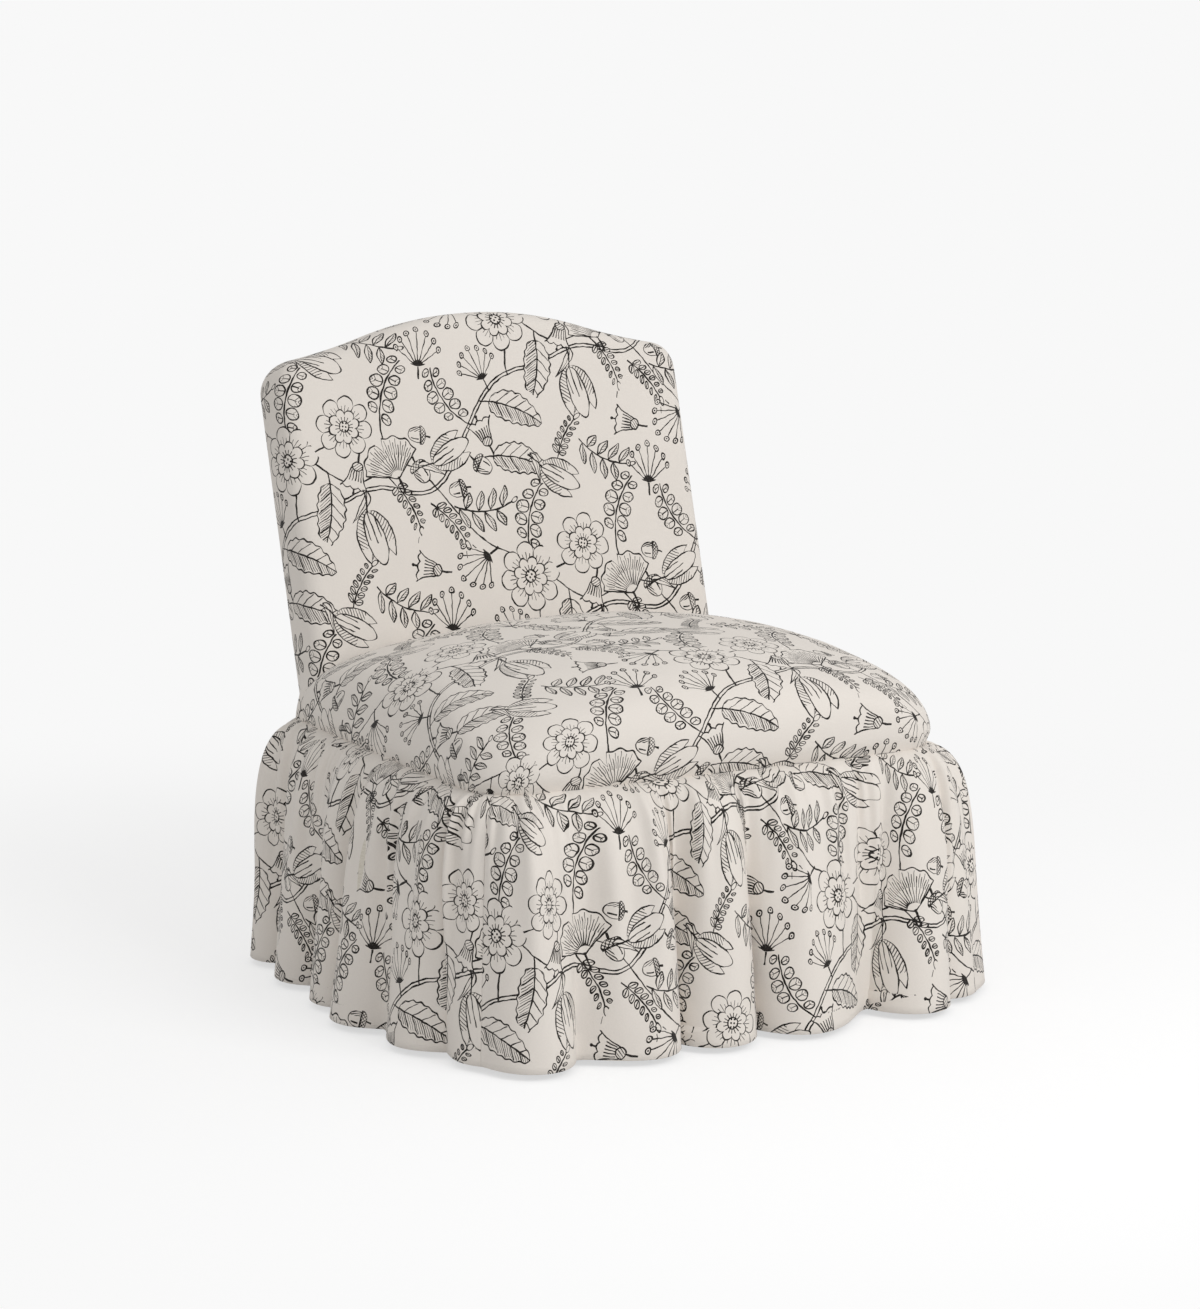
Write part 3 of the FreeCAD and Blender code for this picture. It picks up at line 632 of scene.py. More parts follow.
ear_drawing = """
bend = u - 0.2 * v * v + 0.06
number = floor((v + 0.5) / 0.2)
out = abs(bend)
lean = v + 0.5 - 0.2 * number - 0.1 - 0.4 * (out - 0.13)
plump = 0.108 - 0.008 * number
grain = sqrt((out - 0.135) ** 2 * 1.2 + lean * lean * 1.7) - plump
there = (number > 0 - 0.5) * (number < 5.5)
core = (abs(lean) < 0.8 * w) * (grain < 0 - 0.03)
dark = (abs(sin(50 * lean)) < 22 * w) * (lean < 0) * (grain < 0)
top = sqrt(bend * bend * 2.5 + (v - 0.79) ** 2) - 0.11
beard = (abs(abs(bend) - 0.5 * (v - 0.62)) < 0.7 * w) * (v > 0.86) * (v < 1)
stem = (abs(bend) < 1.1 * w) * (v < 0.7)
solid = max((grain < 0) * there, top < 0)
lines = max(abs(grain) < w, max(core, dark)) * there
ink = max(max(lines, abs(top) < w), max(beard, stem * (1 - solid)))
"""
ear_places = [[184, 97, -152, 51], [241, 70, -139, 51], [103, 335, -34, 47]]

umbel_drawing = """
y = v + 0.62
r = sqrt(u * u + y * y)
a = atan2(u, y)
ray = a - 0.3 * floor(a / 0.3 + 0.5)
length = 1.28 - 0.35 * abs(a)
across = r * ray
ends = r - length
head = sqrt(across * across + ends * ends)
rays = (abs(across) < 0.7 * w) * (r < length) * (abs(a) < 1.0)
dots = max(abs(head - 0.085) < 0.9 * w, head < 0.028) * (abs(a) < 1.0)
bracts = (abs(across) < 0.05 - 0.35 * abs(r - 0.16)) * (abs(a) < 1.3)
stem = (abs(u) < 1.2 * w) * (y < 0)
solid = (head < 0.085) * (abs(a) < 1.0)
ink = max(max(rays * (1 - solid), dots), max(bracts, stem))
"""
umbel_places = [[274, 10, 123, 41], [312, 270, 22, 37], [229, 296, -6, 41]]

bell_drawing = """
y = 0.34 - v
drop = min(max(y / 0.9, 0), 1)
wide = 0.2 + 0.22 * sqrt(drop) + 0.22 * drop ** 4
form = max(abs(u) - wide, max(0 - y, y - 0.86 - 0.09 * abs(cos(8.4 * u))))
ribs = (abs(sin(9 * u / wide)) < 7 * w / wide) * (y < 0.62) * (y > 0.16)
cap = sqrt(u * u + (y + 0.02) ** 2 * 1.5) - 0.24
scales = (abs(sin(20 * (u + y))) < 13 * w) * (cap < 0)
tongue = (abs(u) < 1.3 * w) * (y > 0.8) * (y < 1.1)
tip = sqrt(u * u + (y - 1.14) ** 2) < 0.07
stalk = (abs(u + 0.2 * (y + 0.2) ** 2) < 1.2 * w) * (y < 0 - 0.2)
solid = max(form < 0, cap < 0)
lines = max(abs(form) < w, ribs * (form < 0)) * (cap > 0)
ink = max(max(lines, max(abs(cap) < w, scales)), max(max(tongue * (form > 0), tip), stalk))
"""
bell_places = [[311, 178, -159, 30], [117, 137, -19, 30], [205, 12, -105, 31]]

acorn_drawing = """
y = v - 0.18
nut = max(sqrt(u * u * 3.6 + y * y * 1.9) - 0.86, y - 0.22)
cap = sqrt(u * u * 2.4 + (y - 0.22) ** 2 * 6) - 0.82
dome = max(cap, 0.18 - y)
check = (abs(sin(15 * (u + y))) < 12 * w) + (abs(sin(15 * (u - y))) < 12 * w)
shine = (abs(u - 0.24 + 0.3 * y * y) < w) * (y > -0.42) * (y < 0.05)
shade = (abs(sin(26 * (u + 0.4 * y))) < 16 * w) * (u < 0 - 0.16) * (nut < 0)
stalk = (abs(u - 0.2 * (y - 0.5)) < 1.4 * w) * (y > 0.5)
solid = max(nut < 0, dome < 0)
over = max(max(abs(dome) < w, check * (dome < 0)), stalk)
ink = max(max(max(abs(nut) < w, shine), shade) * (dome > 0), over)
"""
acorn_places = [[213, 132, 31, 25], [258, 109, -80, 22], [209, 183, -98, 22], [306, 136, 57, 24]]

broad_leaf_drawing = """
bend = u - 0.16 * v * v + 0.05
t = (v + 0.78) / 1.68
wide = 0.92 * sqrt(max(t, 0)) * max(1 - t, 0) ** 0.75 + 0.02 * sin(26 * v)
edge = max(abs(bend) - wide, max(0 - t, t - 1))
slant = v - 0.9 * abs(bend)
ribs = (abs(sin(11 * slant)) < 9.5 * w) * (abs(bend) < 0.9 * wide)
hatch = (abs(sin(40 * slant)) < 21 * w) * (bend > 0.1 * wide) * (bend < 0.82 * wide)
mid = abs(bend) < 1.1 * w
stem = mid * (v < -0.7)
solid = edge < 0
ink = max(max(abs(edge) < w, max(max(ribs, hatch), mid) * (edge < 0)), stem)
"""
broad_leaf_places = [[72, 90, 168, 50], [31, 37, -112, 50], [28, 312, -104, 49]]

ginkgo_drawing = """
y = v + 0.55
r = sqrt(u * u + y * y)
a = atan2(u, y)
reach = 1.28 - 0.5 * abs(a) ** 3 * 0.33 + 0.035 * cos(17 * a)
notch = 0.42 * max(1 - abs(a + 0.07) * 9, 0)
rim = max(r - reach + notch, (abs(a) - 1.08) * r)
veins = (abs(sin(19 * a)) * r < 11 * w) * (r < 0.84 * reach - notch) * (r > 0.26)
fine = (abs(cos(19 * a)) * r < 8 * w) * (r < 0.94 * reach - notch) * (r > 0.72)
stem = (abs(u + 0.1 * y * y) < 1.5 * w) * (y < 0.06)
solid = rim < 0
ink = max(max(abs(rim) < w, max(veins, fine) * (rim < 0)), stem)
"""
ginkgo_places = [[169, 150, 22, 42]]

tulip_drawing = """
y = v - 0.2
side = abs(u) - 0.5 * sqrt(max(1 - y * y * 1.9, 0))
tips = y - 0.3 - 0.34 * abs(cos(6.3 * u))
cup = max(side, tips)
inner = abs(u) - 0.25 * sqrt(max(1 - y * y * 2.1, 0))
veins = (abs(sin(21 * u)) < 16 * w) * (y < 0.3 * abs(cos(6.3 * u)) - 0.2) * (inner < 0)
hatch = (abs(sin(28 * (y + abs(u)))) < 19 * w) * (inner > 0) * (y < 0.14)
bow = 0.12 * sin(3 * v + 1.4)
stem = (abs(u - bow) < 1.2 * w) * (v < 0 - 0.5)
t = min(max((v + 0.98) / 0.62, 0), 1)
blade = u - bow - 0.5 * t * t
leaf = abs(blade + 0.06) - 0.17 * sin(3.1416 * t) * (1 - 0.4 * t)
rib = abs(blade + 0.06) < 0.7 * w
solid = max(cup < 0, (leaf < 0) * (t < 1) * (t > 0))
lines = max(abs(cup) < w, max(abs(inner) < w, max(veins, hatch)) * (cup < 0)) * (y > 0 - 0.72)
ink = max(max(lines, stem), max(abs(leaf) < w, rib * (leaf < 0)) * (t < 1) * (t > 0) * (cup > 0))
"""
tulip_places = [[251, 155, -63, 46], [131, 64, -166, 52], [81, 290, -119, 46]]

dahlia_drawing = """
y = v - 0.26
r = sqrt(u * u + y * y)
a = atan2(y, u)
petals = cos(4 * a)
rim = r - 0.5 - 0.23 * abs(petals) ** 0.5
heart = r - 0.27 - 0.14 * abs(sin(4 * a)) ** 0.5
solid = rim < 0
fold = (r * abs(petals) < 3 * w) * (heart > 0)
veins = (r * abs(sin(16 * a)) < 7 * w) * (heart > w) * (r < 0.4 + 0.12 * abs(petals))
crown = max(abs(r - 0.13) < w, (abs(sin(8 * a)) * r < 5 * w) * (r < 0.24) * (r > 0.14))
seeds = (sin(52 * u) * sin(52 * y) > 0.35) * (r < 0.12)
lines = max(max(abs(rim) < w, abs(heart) < w), max(fold, veins)) * (rim < w)
stem = (abs(u + 0.05 * sin(5 * v)) < 1.2 * w) * (rim > 0) * (v < 0)
ink = max(max(lines, crown), max(seeds, stem))
"""
dahlia_places = [[24, 146, 6, 61], [97, 191, -56, 54]]

motifs = [(coin_sprig_drawing, coin_sprig_places), (olive_twig_drawing, olive_twig_places),
          (ear_drawing, ear_places), (umbel_drawing, umbel_places), (bell_drawing, bell_places),
          (acorn_drawing, acorn_places), (broad_leaf_drawing, broad_leaf_places),
          (ginkgo_drawing, ginkgo_places), (tulip_drawing, tulip_places),
          (dahlia_drawing, dahlia_places)]


# A motif hides what it lies over
over_drawing = """
within = near < 1.04
total = max(below * (1 - min(solid * within, 1)), min(ink * within, 1))
"""
finish_drawing = """
weave = sin(x * turn) * sin(y * turn)
tone = 0.94 + 0.06 * slub + 0.05 * drift + 0.012 * weave
cover = ink * min(0.9 + 0.2 * slub, 1)
relief = weave + 1.2 * slub
"""

# Threads are about 0.35 mm apart and are drawn at 0.6 mm, so that they show. The noises'
# scales are for metres: the pen trembles over 11 mm and presses over 17 mm, the yarn is uneven
# over 2.4 mm and the cloth's tone drifts over 110 mm.
thread_pitch = 0.0006
tremble_scale = 90.0
tremble_reach = 0.0022
pressure_scale = 60.0
slub_scale = 420.0
drift_scale = 9.0


def copies_in_repeat(places):
    """Every copy of a motif's places that reaches into one repeat."""
    reach = []
    for x, y, turn, radius in places:
        for column in (-1, 0, 1):
            for row in (-2, -1, 0, 1, 2):
                across = x + column * repeat_width
                up = y + column * repeat_height / 2 + row * repeat_height
                past_x = across - min(max(across, 0), repeat_width)
                past_y = up - min(max(up, 0), repeat_height)
                if math.hypot(past_x, past_y) < radius:
                    reach.append((across, up, math.radians(turn), radius))
    return reach


def printed_cloth(name, ivory, ink_colour):
    """The printed cotton on a piece's cloth map."""
    material, tree, shader = new_material(name, {
        "Roughness": 0.88, "IOR": 1.45, "Specular IOR Level": 0.25, "Sheen Weight": 0.12,
        "Sheen Roughness": 0.5})
    cloth_map = add_node(tree, "ShaderNodeUVMap", uv_map="cloth")
    tremble, pressure, slub, drift = [
        add_node(tree, "ShaderNodeTexNoise", {"Vector": cloth_map.outputs[0], "Scale": scale,
                                              "Detail": detail}, noise_dimensions="2D")
        for scale, detail in ((tremble_scale, 1.0), (pressure_scale, 1.0), (slub_scale, 3.0),
                              (drift_scale, 2.0))]
    centred = add_node(tree, "ShaderNodeVectorMath", {
        0: tremble.outputs["Color"], 1: (0.5, 0.5, 0.5)}, operation="SUBTRACT")
    shaken = add_node(tree, "ShaderNodeVectorMath", {
        0: centred.outputs[0], 1: (tremble_reach, tremble_reach, 0.0), 2: cloth_map.outputs[0]},
        operation="MULTIPLY_ADD")
    in_mm = add_node(tree, "ShaderNodeVectorMath", {
        0: shaken.outputs[0], 1: (1000.0, 1000.0, 0.0)}, operation="MULTIPLY")
    axes = add_node(tree, "ShaderNodeSeparateXYZ", {"Vector": in_mm.outputs[0]})
    pen = add_node(tree, "ShaderNodeMapRange", {
        "Value": pressure.outputs[0], "From Min": 0.3, "From Max": 0.7,
        "To Min": pen_half * 0.75, "To Max": pen_half * 1.35})
    known = {"x": axes.outputs[0], "y": axes.outputs[1], "width": repeat_width,
             "height": repeat_height, "drop": repeat_height / 2, "pen": pen.outputs[0]}
    draw(tree, repeat_drawing + double_stem_drawing + single_stem_drawing, known)
    ink = known["ink"]
    place = add_node(tree, "ShaderNodeCombineXYZ", {0: known["x"], 1: known["y"]}).outputs[0]
    for drawing, places in motifs:
        local, nearest = None, None
        for across, up, turn, radius in copies_in_repeat(places):
            here = add_node(tree, "ShaderNodeMapping", {
                "Vector": place, "Location": (across, up, 0.0), "Rotation": (0.0, 0.0, turn),
                "Scale": (radius, radius, 1.0)}, vector_type="TEXTURE").outputs[0]
            away = add_node(tree, "ShaderNodeVectorMath", {0: here},
                            operation="LENGTH").outputs["Value"]
            if local is None:
                local, nearest = here, away
                continue
            which = draw(tree, "closer = away < nearest\nleast = min(away, nearest)",
                         {"away": away, "nearest": nearest})
            local = add_node(tree, "ShaderNodeMix", {0: which["closer"], 4: local, 5: here},
                             data_type="VECTOR").outputs[1]
            nearest = which["least"]
        inner = add_node(tree, "ShaderNodeSeparateXYZ", {"Vector": local})
        mean_radius = sum(radius for across, up, turn, radius in places) / len(places)
        ink = draw(tree, "w = pen / radius" + drawing + over_drawing, {
            "u": inner.outputs[0], "v": inner.outputs[1], "pen": pen.outputs[0],
            "radius": mean_radius, "below": ink, "near": nearest})["total"]
    threads = add_node(tree, "ShaderNodeSeparateXYZ", {"Vector": cloth_map.outputs[0]})
    finish = draw(tree, finish_drawing, {
        "x": threads.outputs[0], "y": threads.outputs[1], "turn": math.pi / thread_pitch,
        "slub": slub.outputs[0], "drift": drift.outputs[0], "ink": ink})
    ground = add_node(tree, "ShaderNodeVectorMath", {0: linear(ivory)[:3],
                                                     "Scale": finish["tone"]},
                      operation="SCALE")
    printed = add_node(tree, "ShaderNodeMix", {0: finish["cover"], 6: ground.outputs[0],
                                               7: linear(ink_colour)}, data_type="RGBA")
    bump = add_node(tree, "ShaderNodeBump", {"Height": finish["relief"], "Strength": 0.35,
                                             "Distance": 0.00025})
    tree.links.new(printed.outputs[2], shader.inputs["Base Color"])
    tree.links.new(bump.outputs[0], shader.inputs["Normal"])
    return material


print_cotton = printed_cloth("ivory_cotton_printed_in_dark_ink", "#E9E2DA", "#1F1B18")


# Seat cover
# One piece of the printed cotton pulled over the crowned padding, with small puckers along the
# seam, turned under there and tacked to the rails below the skirt's head.

def add_rings(points, faces, maps, rings, levels):
    """More rings under a shell's edge, each as (how far in, how far down) from the edge."""
    count = 8 * rings
    edge = list(range(len(points) - count, len(points)))
    centre = Vector((0, seat_middle, 0))
    above = edge
    for inward, down in levels:
        now = []
        for k in edge:
            flat = (points[k] - centre).xy.normalized()
            now.append(len(points))
            points.append(points[k] - Vector((flat.x, flat.y, 0)) * inward - Vector((0, 0, down)))
            maps.append((maps[k][0] + flat.x * down, maps[k][1] + flat.y * down))
        for k in range(count):
            following = (k + 1) % count
            faces.append((above[k], now[k], now[following], above[following]))
        above = now


seat_rings = 46
cover_thickness = 0.0015
cover_turn = [(0.0002, 0.003), (0.0008, 0.008), (0.002, 0.018)]

seat_cover_shell = seat_shell(0.0, seat_rings, 0.0012, 0.0022)
add_rings(*seat_cover_shell, seat_rings, cover_turn)
seat_cover = grid_mesh("seat_cover_printed", *seat_cover_shell)
thicken(seat_cover, cover_thickness, 1)
fit(seat_cover, "printed_cotton", print_cotton, "seat_cover")


# Back padding and cover
# Foam on the posts and webbing and batting over it. The inside cover of printed cotton is
# pulled over the camel-backed crest and both sides in one piece and tacked behind.

back_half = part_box("inside_back_cover")[1].x
back_length = 0.516
back_swell = 0.008
front_edge = 0.024
rear_edge = 0.007
side_swell = 0.003
crest_radius = 0.520
crest_turn = math.radians(18.0)
shoulder_radius = 0.800
corner_radius = 0.036
foot_flare = 0.070
back_columns = 64
back_rows = 50

# The mesh: points on each arc of the outline, spacing eased towards the ends of the crest and
# of the sides, and steps round each edge
arc_points = 40
corner_points = 12
crest_ease = 0.5
side_ease = 0.35
front_edge_steps = 6
side_steps = 7
rear_edge_steps = 4
calm_rows = 8
back_lump_scale = 8.0
back_batting_thickness = 0.007
back_foam_thickness = 0.020


def crest_sides(inset):
    """The back's outline in its own plane, as three runs of (point, outward direction): the left
    side up to the corner's middle, the crest, and the right side down."""
    middle = np.array([0.0, back_length - crest_radius])
    turn = np.array([math.sin(crest_turn), math.cos(crest_turn)])
    hollow = middle + turn * (crest_radius + shoulder_radius)
    reach = shoulder_radius + corner_radius
    slope = math.asin((hollow[0] - back_half + corner_radius) / reach)
    corner = hollow - np.array([math.sin(slope), math.cos(slope)]) * reach
    right = []

    def run(centre, radius, start, end, count, inward=1):
        """Adds an arc. Angles are from straight up, clockwise."""
        for step in range(count):
            angle = start + (end - start) * step / count
            way = np.array([math.sin(angle), math.cos(angle)])
            right.append((centre + way * radius, way * inward))

    run(middle, crest_radius - inset, 0.0, crest_turn, arc_points)
    run(hollow, -(shoulder_radius + inset), crest_turn, slope, arc_points)
    run(corner, corner_radius - inset, slope, math.pi / 4, corner_points)
    corner_at = len(right)
    run(corner, corner_radius - inset, math.pi / 4, math.pi / 2, corner_points)
    right.append((np.array([back_half - inset, corner[1]]), np.array([1.0, 0.0])))
    foot = (np.array([back_half - inset, 0.0]), np.array([1.0, 0.0]))
    crest = right[:corner_at + 1]
    side = right[corner_at:] + [foot]

    def mirror(runs):
        """The same run on the other side."""
        return [(p * (-1, 1), n * (-1, 1)) for p, n in runs]

    return mirror(side)[::-1], mirror(crest)[::-1] + crest[1:], side


def spread(runs, count, ease):
    """Points spaced along a run, closer together near its ends by an ease from 0 to 1."""
    points = np.array([p for p, n in runs])
    normals = np.array([n for p, n in runs])
    along = np.concatenate([[0], np.cumsum(np.linalg.norm(np.diff(points, axis=0), axis=1))])
    even = np.linspace(0, 1, count + 1)
    eased = (1 - np.cos(math.pi * even)) / 2
    at = (even * (1 - ease) + eased * ease) * along[-1]
    place = np.stack([np.interp(at, along, points[:, k]) for k in (0, 1)], 1)
    way = np.stack([np.interp(at, along, normals[:, k]) for k in (0, 1)], 1)
    return place, way / np.linalg.norm(way, axis=1)[:, None]


def patch(bottom, top, left, right):
    """A grid of points between four edges."""
    rows, columns = len(left) - 1, len(top) - 1
    s = np.linspace(0, 1, columns + 1)[None, :, None]
    t = np.linspace(0, 1, rows + 1)[:, None, None]
    across = (1 - s) * left[:, None] + s * right[:, None]
    up = (1 - t) * bottom[None] + t * top[None]
    corners = ((1 - s) * (1 - t) * bottom[0] + s * (1 - t) * bottom[-1]
               + (1 - s) * t * top[0] + s * t * top[-1])
    return across + up - corners


def seam_half_at(y):
    """Half the seam's width at a place front to back, behind the middle of the seat."""
    past = max(0.0, y - (seam_rear - seam_rear_radius))
    return seam_half - seam_rear_radius + math.sqrt(max(seam_rear_radius ** 2 - past ** 2, 0.0))


def from_back(x, rise, depth):
    """A point given in the plane of the back: across, up the rake and towards the sitter."""
    return Vector((x, seam_rear + rise * math.sin(back_rake) - depth * math.cos(back_rake),
                   seam_height + rise * math.cos(back_rake) + depth * math.sin(back_rake)))


def place_on_back(x, rise, depth, inset):
    """The same point with the foot trimmed level with the seam and flared out to meet it."""
    trim = -depth * rake_tangent
    side_top = back_length - 0.1
    if rise < side_top:
        rise += trim * (1 - rise / side_top)
    point = from_back(x, rise, depth)
    above = (point.z - seam_height) / foot_flare
    if above < 1:
        ease = 1 - above * above * (3 - 2 * above)
        wide = max(seam_half_at(point.y) - seam_draw_in - inset, back_half - inset)
        point.x *= 1 + (wide / (back_half - inset) - 1) * ease
    return point


def back_shell(inset, softness, wrap=True):
    """The padded back's front, crest and sides as an open shell, with its cloth map."""
    edge = front_edge - inset
    left, top, right = crest_sides(front_edge)
    left_p, left_n = spread(left, back_rows, side_ease)
    top_p, top_n = spread(top, back_columns, crest_ease)
    right_p, right_n = spread(right, back_rows, side_ease)
    right_p = right_p[::-1]
    bottom_p = np.linspace(left_p[0], right_p[0], back_columns + 1)
    face = patch(bottom_p, top_p, left_p, right_p)

    def front_depth(x):
        """How far the front stands out, which swells in the middle."""
        return back_thickness - inset - back_swell * (x / back_half) ** 2

    points, maps = [], []
    rows, columns = face.shape[:2]
    faces = grid_faces(columns, rows)
    for j in range(rows):
        for i in range(columns):
            x, rise = face[j, i]
            place = place_on_back(x, rise, front_depth(x), inset)
            rim = min(i, columns - 1 - i, rows - 1 - j) / calm_rows
            soft = softness * noise.noise(place * back_lump_scale) * min(rim, 1.0)
            points.append(place + Vector((0, -soft, 0)))
            maps.append((x, rise))
    rim = [(j, 0) for j in range(rows)] + [(rows - 1, i) for i in range(1, columns)]
    rim += [(j, columns - 1) for j in range(rows - 2, -1, -1)]
    rim_p = [face[j, i] for j, i in rim]
    rim_n = list(left_n) + list(top_n[1:]) + list(right_n[1:])
    last = [j * columns + i for j, i in rim]
    steps = []
    for k in range(1, front_edge_steps + 1):
        angle = math.pi / 2 * k / front_edge_steps
        steps.append((edge * math.sin(angle), -edge * (1 - math.cos(angle)), edge * angle))
    wall = back_thickness - back_swell - edge - rear_edge - inset
    for k in range(1, side_steps + 1 if wrap else 1):
        share = k / side_steps
        steps.append((edge + side_swell * 4 * share * (1 - share), -edge - wall * share,
                      edge * math.pi / 2 + wall * share))
    if inset == 0:
        for k in range(1, rear_edge_steps + 1):
            angle = math.pi / 2 * k / rear_edge_steps
            steps.append((edge - rear_edge * (1 - math.cos(angle)),
                          -edge - wall - rear_edge * math.sin(angle),
                          edge * math.pi / 2 + wall + rear_edge * angle))
    for outwards, deeper, travel in steps:
        now = []
        for p, n in zip(rim_p, rim_n):
            x, rise = p + n * outwards
            base = front_depth(p[0])
            depth = base + deeper * base / (back_thickness - back_swell)
            place = place_on_back(x, rise, max(depth, 0.0), inset)
            now.append(len(points))
            points.append(place)
            maps.append(tuple(p + n * travel))
        for k in range(len(rim) - 1):
            faces.append((last[k], last[k + 1], now[k + 1], now[k]))
        last = now
    return points, faces, maps


back_foam = grid_mesh("back_foam_slab", *back_shell(0.0096, 0.0, False))
thicken(back_foam, back_foam_thickness)
fit(back_foam, "foam", upholstery_foam, "back_foam")

back_wadding = grid_mesh("back_batting_wrap", *back_shell(0.0023, 0.0005))
thicken(back_wadding, back_batting_thickness - 0.0005)
fit(back_wadding, "batting", polyester_batting, "back_batting")

back_cover = grid_mesh("inside_back_cover_printed", *back_shell(0.0, 0.0016))
thicken(back_cover, cover_thickness, 1)
fit(back_cover, "printed_cotton", print_cotton, "inside_back_cover")


# Outside back panel
# A flat piece of the same cotton, folded under along its edges and drawn tight over the posts,
# so that it dips a little at its edge and stands a little proud in the middle.

panel_inset = rear_edge + 0.0004
panel_belly = 0.003
panel_roll = 0.0015
belly_rows = 10


def outside_panel():
    """The panel's grid of points, its faces and its cloth map, seen from behind."""
    left, top, right = crest_sides(panel_inset)
    left_p = spread(left, back_rows, side_ease)[0]
    top_p = spread(top, back_columns, crest_ease)[0]
    right_p = spread(right, back_rows, side_ease)[0][::-1]
    bottom_p = np.linspace(left_p[0], right_p[0], back_columns + 1)
    face = patch(bottom_p, top_p, left_p, right_p)
    rows, columns = face.shape[:2]
    points, maps = [], []
    for j in range(rows):
        for i in range(columns):
            x, rise = face[j, i]
            rim = min(i, columns - 1 - i, rows - 1 - j)
            roll = panel_roll * max(0.0, 1 - rim)
            belly = panel_belly * math.sin(math.pi * i / (columns - 1))
            roll -= belly * min(1.0, rim / belly_rows)
            points.append(place_on_back(x, rise, roll, 0.0))
            maps.append((-x, rise + back_length))
    return points, [f[1:] + f[:1] for f in grid_faces(columns, rows)], maps


back_panel = grid_mesh("outside_back_panel_printed", *outside_panel())
thicken(back_panel, cover_thickness)
fit(back_panel, "printed_cotton", print_cotton, "outside_back_panel")


# Dust cover
# Thin black cambric, spun and pressed with a fine square pattern, stapled under the rails to
# close the frame. It is dull, sags a little and is cut out round the legs.

cambric_low, cambric_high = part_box("cambric_dust_cover")
cambric_sag = 0.003
leg_room = 0.006
leg_boxes = [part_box(name) for name in ("left_front_leg", "right_front_leg",
                                       "left_rear_leg_and_post", "right_rear_leg_and_post")]


def cambric_at(s, t):
    """Stapled flat along its edges and low in the middle."""
    sag = cambric_sag * math.sin(math.pi * s) * math.sin(math.pi * t)
    return Vector((between(cambric_low.x, cambric_high.x, s),
                   between(cambric_low.y, cambric_high.y, t), cambric_high.z - 0.0001 - sag))


def clear_of_legs(s, t):
    """Whether a place is outside the cuts round the legs."""
    x, y = between(cambric_low.x, cambric_high.x, s), between(cambric_low.y, cambric_high.y, t)
    return not any(low.x - leg_room < x < high.x + leg_room
                   and low.y - leg_room < y < high.y + leg_room for low, high in leg_boxes)


cambric = cloth_grid("cambric_sheet", cambric_at, 72, 66, clear_of_legs)
spun_cambric = woven("spun_black_cambric", 0.0009, ("#161517", "#2C2B2D"), 0.95, 0.0002)
thicken(cambric, 0.0006)
fit(cambric, "black_cambric", spun_cambric, "cambric_dust_cover")


# Skirt tape
# A bleached cotton tape, matt, stapled round the rails at the seam. The skirt's head is sewn to
# it. Its threads, and the lining's, are drawn 0.7 mm apart, coarser than real, so that they show.

lining_cotton = woven("bleached_lining_cotton", 0.0007, ("#C9C1B2", "#E4DED2"), 0.9, 0.0001,
                      "XZ")
tape_plan = outline_points(seam_half - tape_inset, half_depth - tape_inset,
                           seam_front_radius - tape_inset, seam_rear_radius - tape_inset, 40)[0]
tape_points = [Vector((x, y + seat_middle, level))
               for level in (tape_high.z - 0.0002, tape_low.z + 0.0002) for x, y in tape_plan]
ring_size = len(tape_plan)
tape_faces = [(k, ring_size + k, ring_size + (k + 1) % ring_size, (k + 1) % ring_size)
              for k in range(ring_size)]
tape = grid_mesh("skirt_tape_band", tape_points, tape_faces)
thicken(tape, 0.0014)
fit(tape, "lining_cotton", lining_cotton, "skirt_tape")


# Skirt
# Four panels of the printed cotton, each gathered along its head on the tape and lined with
# bleached cotton. They puff out below the seam, hang in rolling folds and end in a hem.

hem_height = 0.009
skirt_drop = seam_height - hem_height
puff_reach = 0.029
puff_drop = 0.028
flare_slope = 0.085
flare_for_length = 0.052
head_tuck = 0.0062
head_fade = 0.004
head_rise = 0.0012
head_turn = 0.002

# Gathers: small pleats along the head, each of one of these heights, that die out below it
gather_pitch = 0.015
gather_seam = 0.0008
gather_heights = (0.0015, 0.0028, 0.0042, 0.0062, 0.0088)
gather_swell = 0.009
gather_drift = 0.009
gather_spread = 2.4

# Folds: their swing grows to the hem, and soft creases cross them about a third of the way down
hem_swing = 1.2
fold_start = 0.3
fold_start_drop = 0.03
fold_growth = 0.8
fold_roll = 0.0125
fold_wander = 0.030
wander_scale = 13.0
crease_scale = 38.0
crease_depth = 0.017
crease_at = 0.35
crease_spread = 0.3
corner_calm = 0.03
hem_fold = 0.024
hem_inner = 0.0045

# The turned hem, as (how far above the hem's line, how far in)
hem_turn = [(-0.0006, 0.0007), (0.0, hem_inner), (hem_fold / 2, hem_inner),
            (hem_fold, hem_inner)]

# The mesh is finer than the gathers, with its rows closer together at the head
cloth_fullness = 1.35
skirt_rows = 46
row_crowding = 1.25
skirt_step = 0.0032
lining_step = 0.006

# The cloth hangs just outside the seam's line and its lining just inside
skirt_cloth = 0.0011
skirt_stand_off = 0.002
lining_stand_off = -0.0045
lining_shorter = 0.003

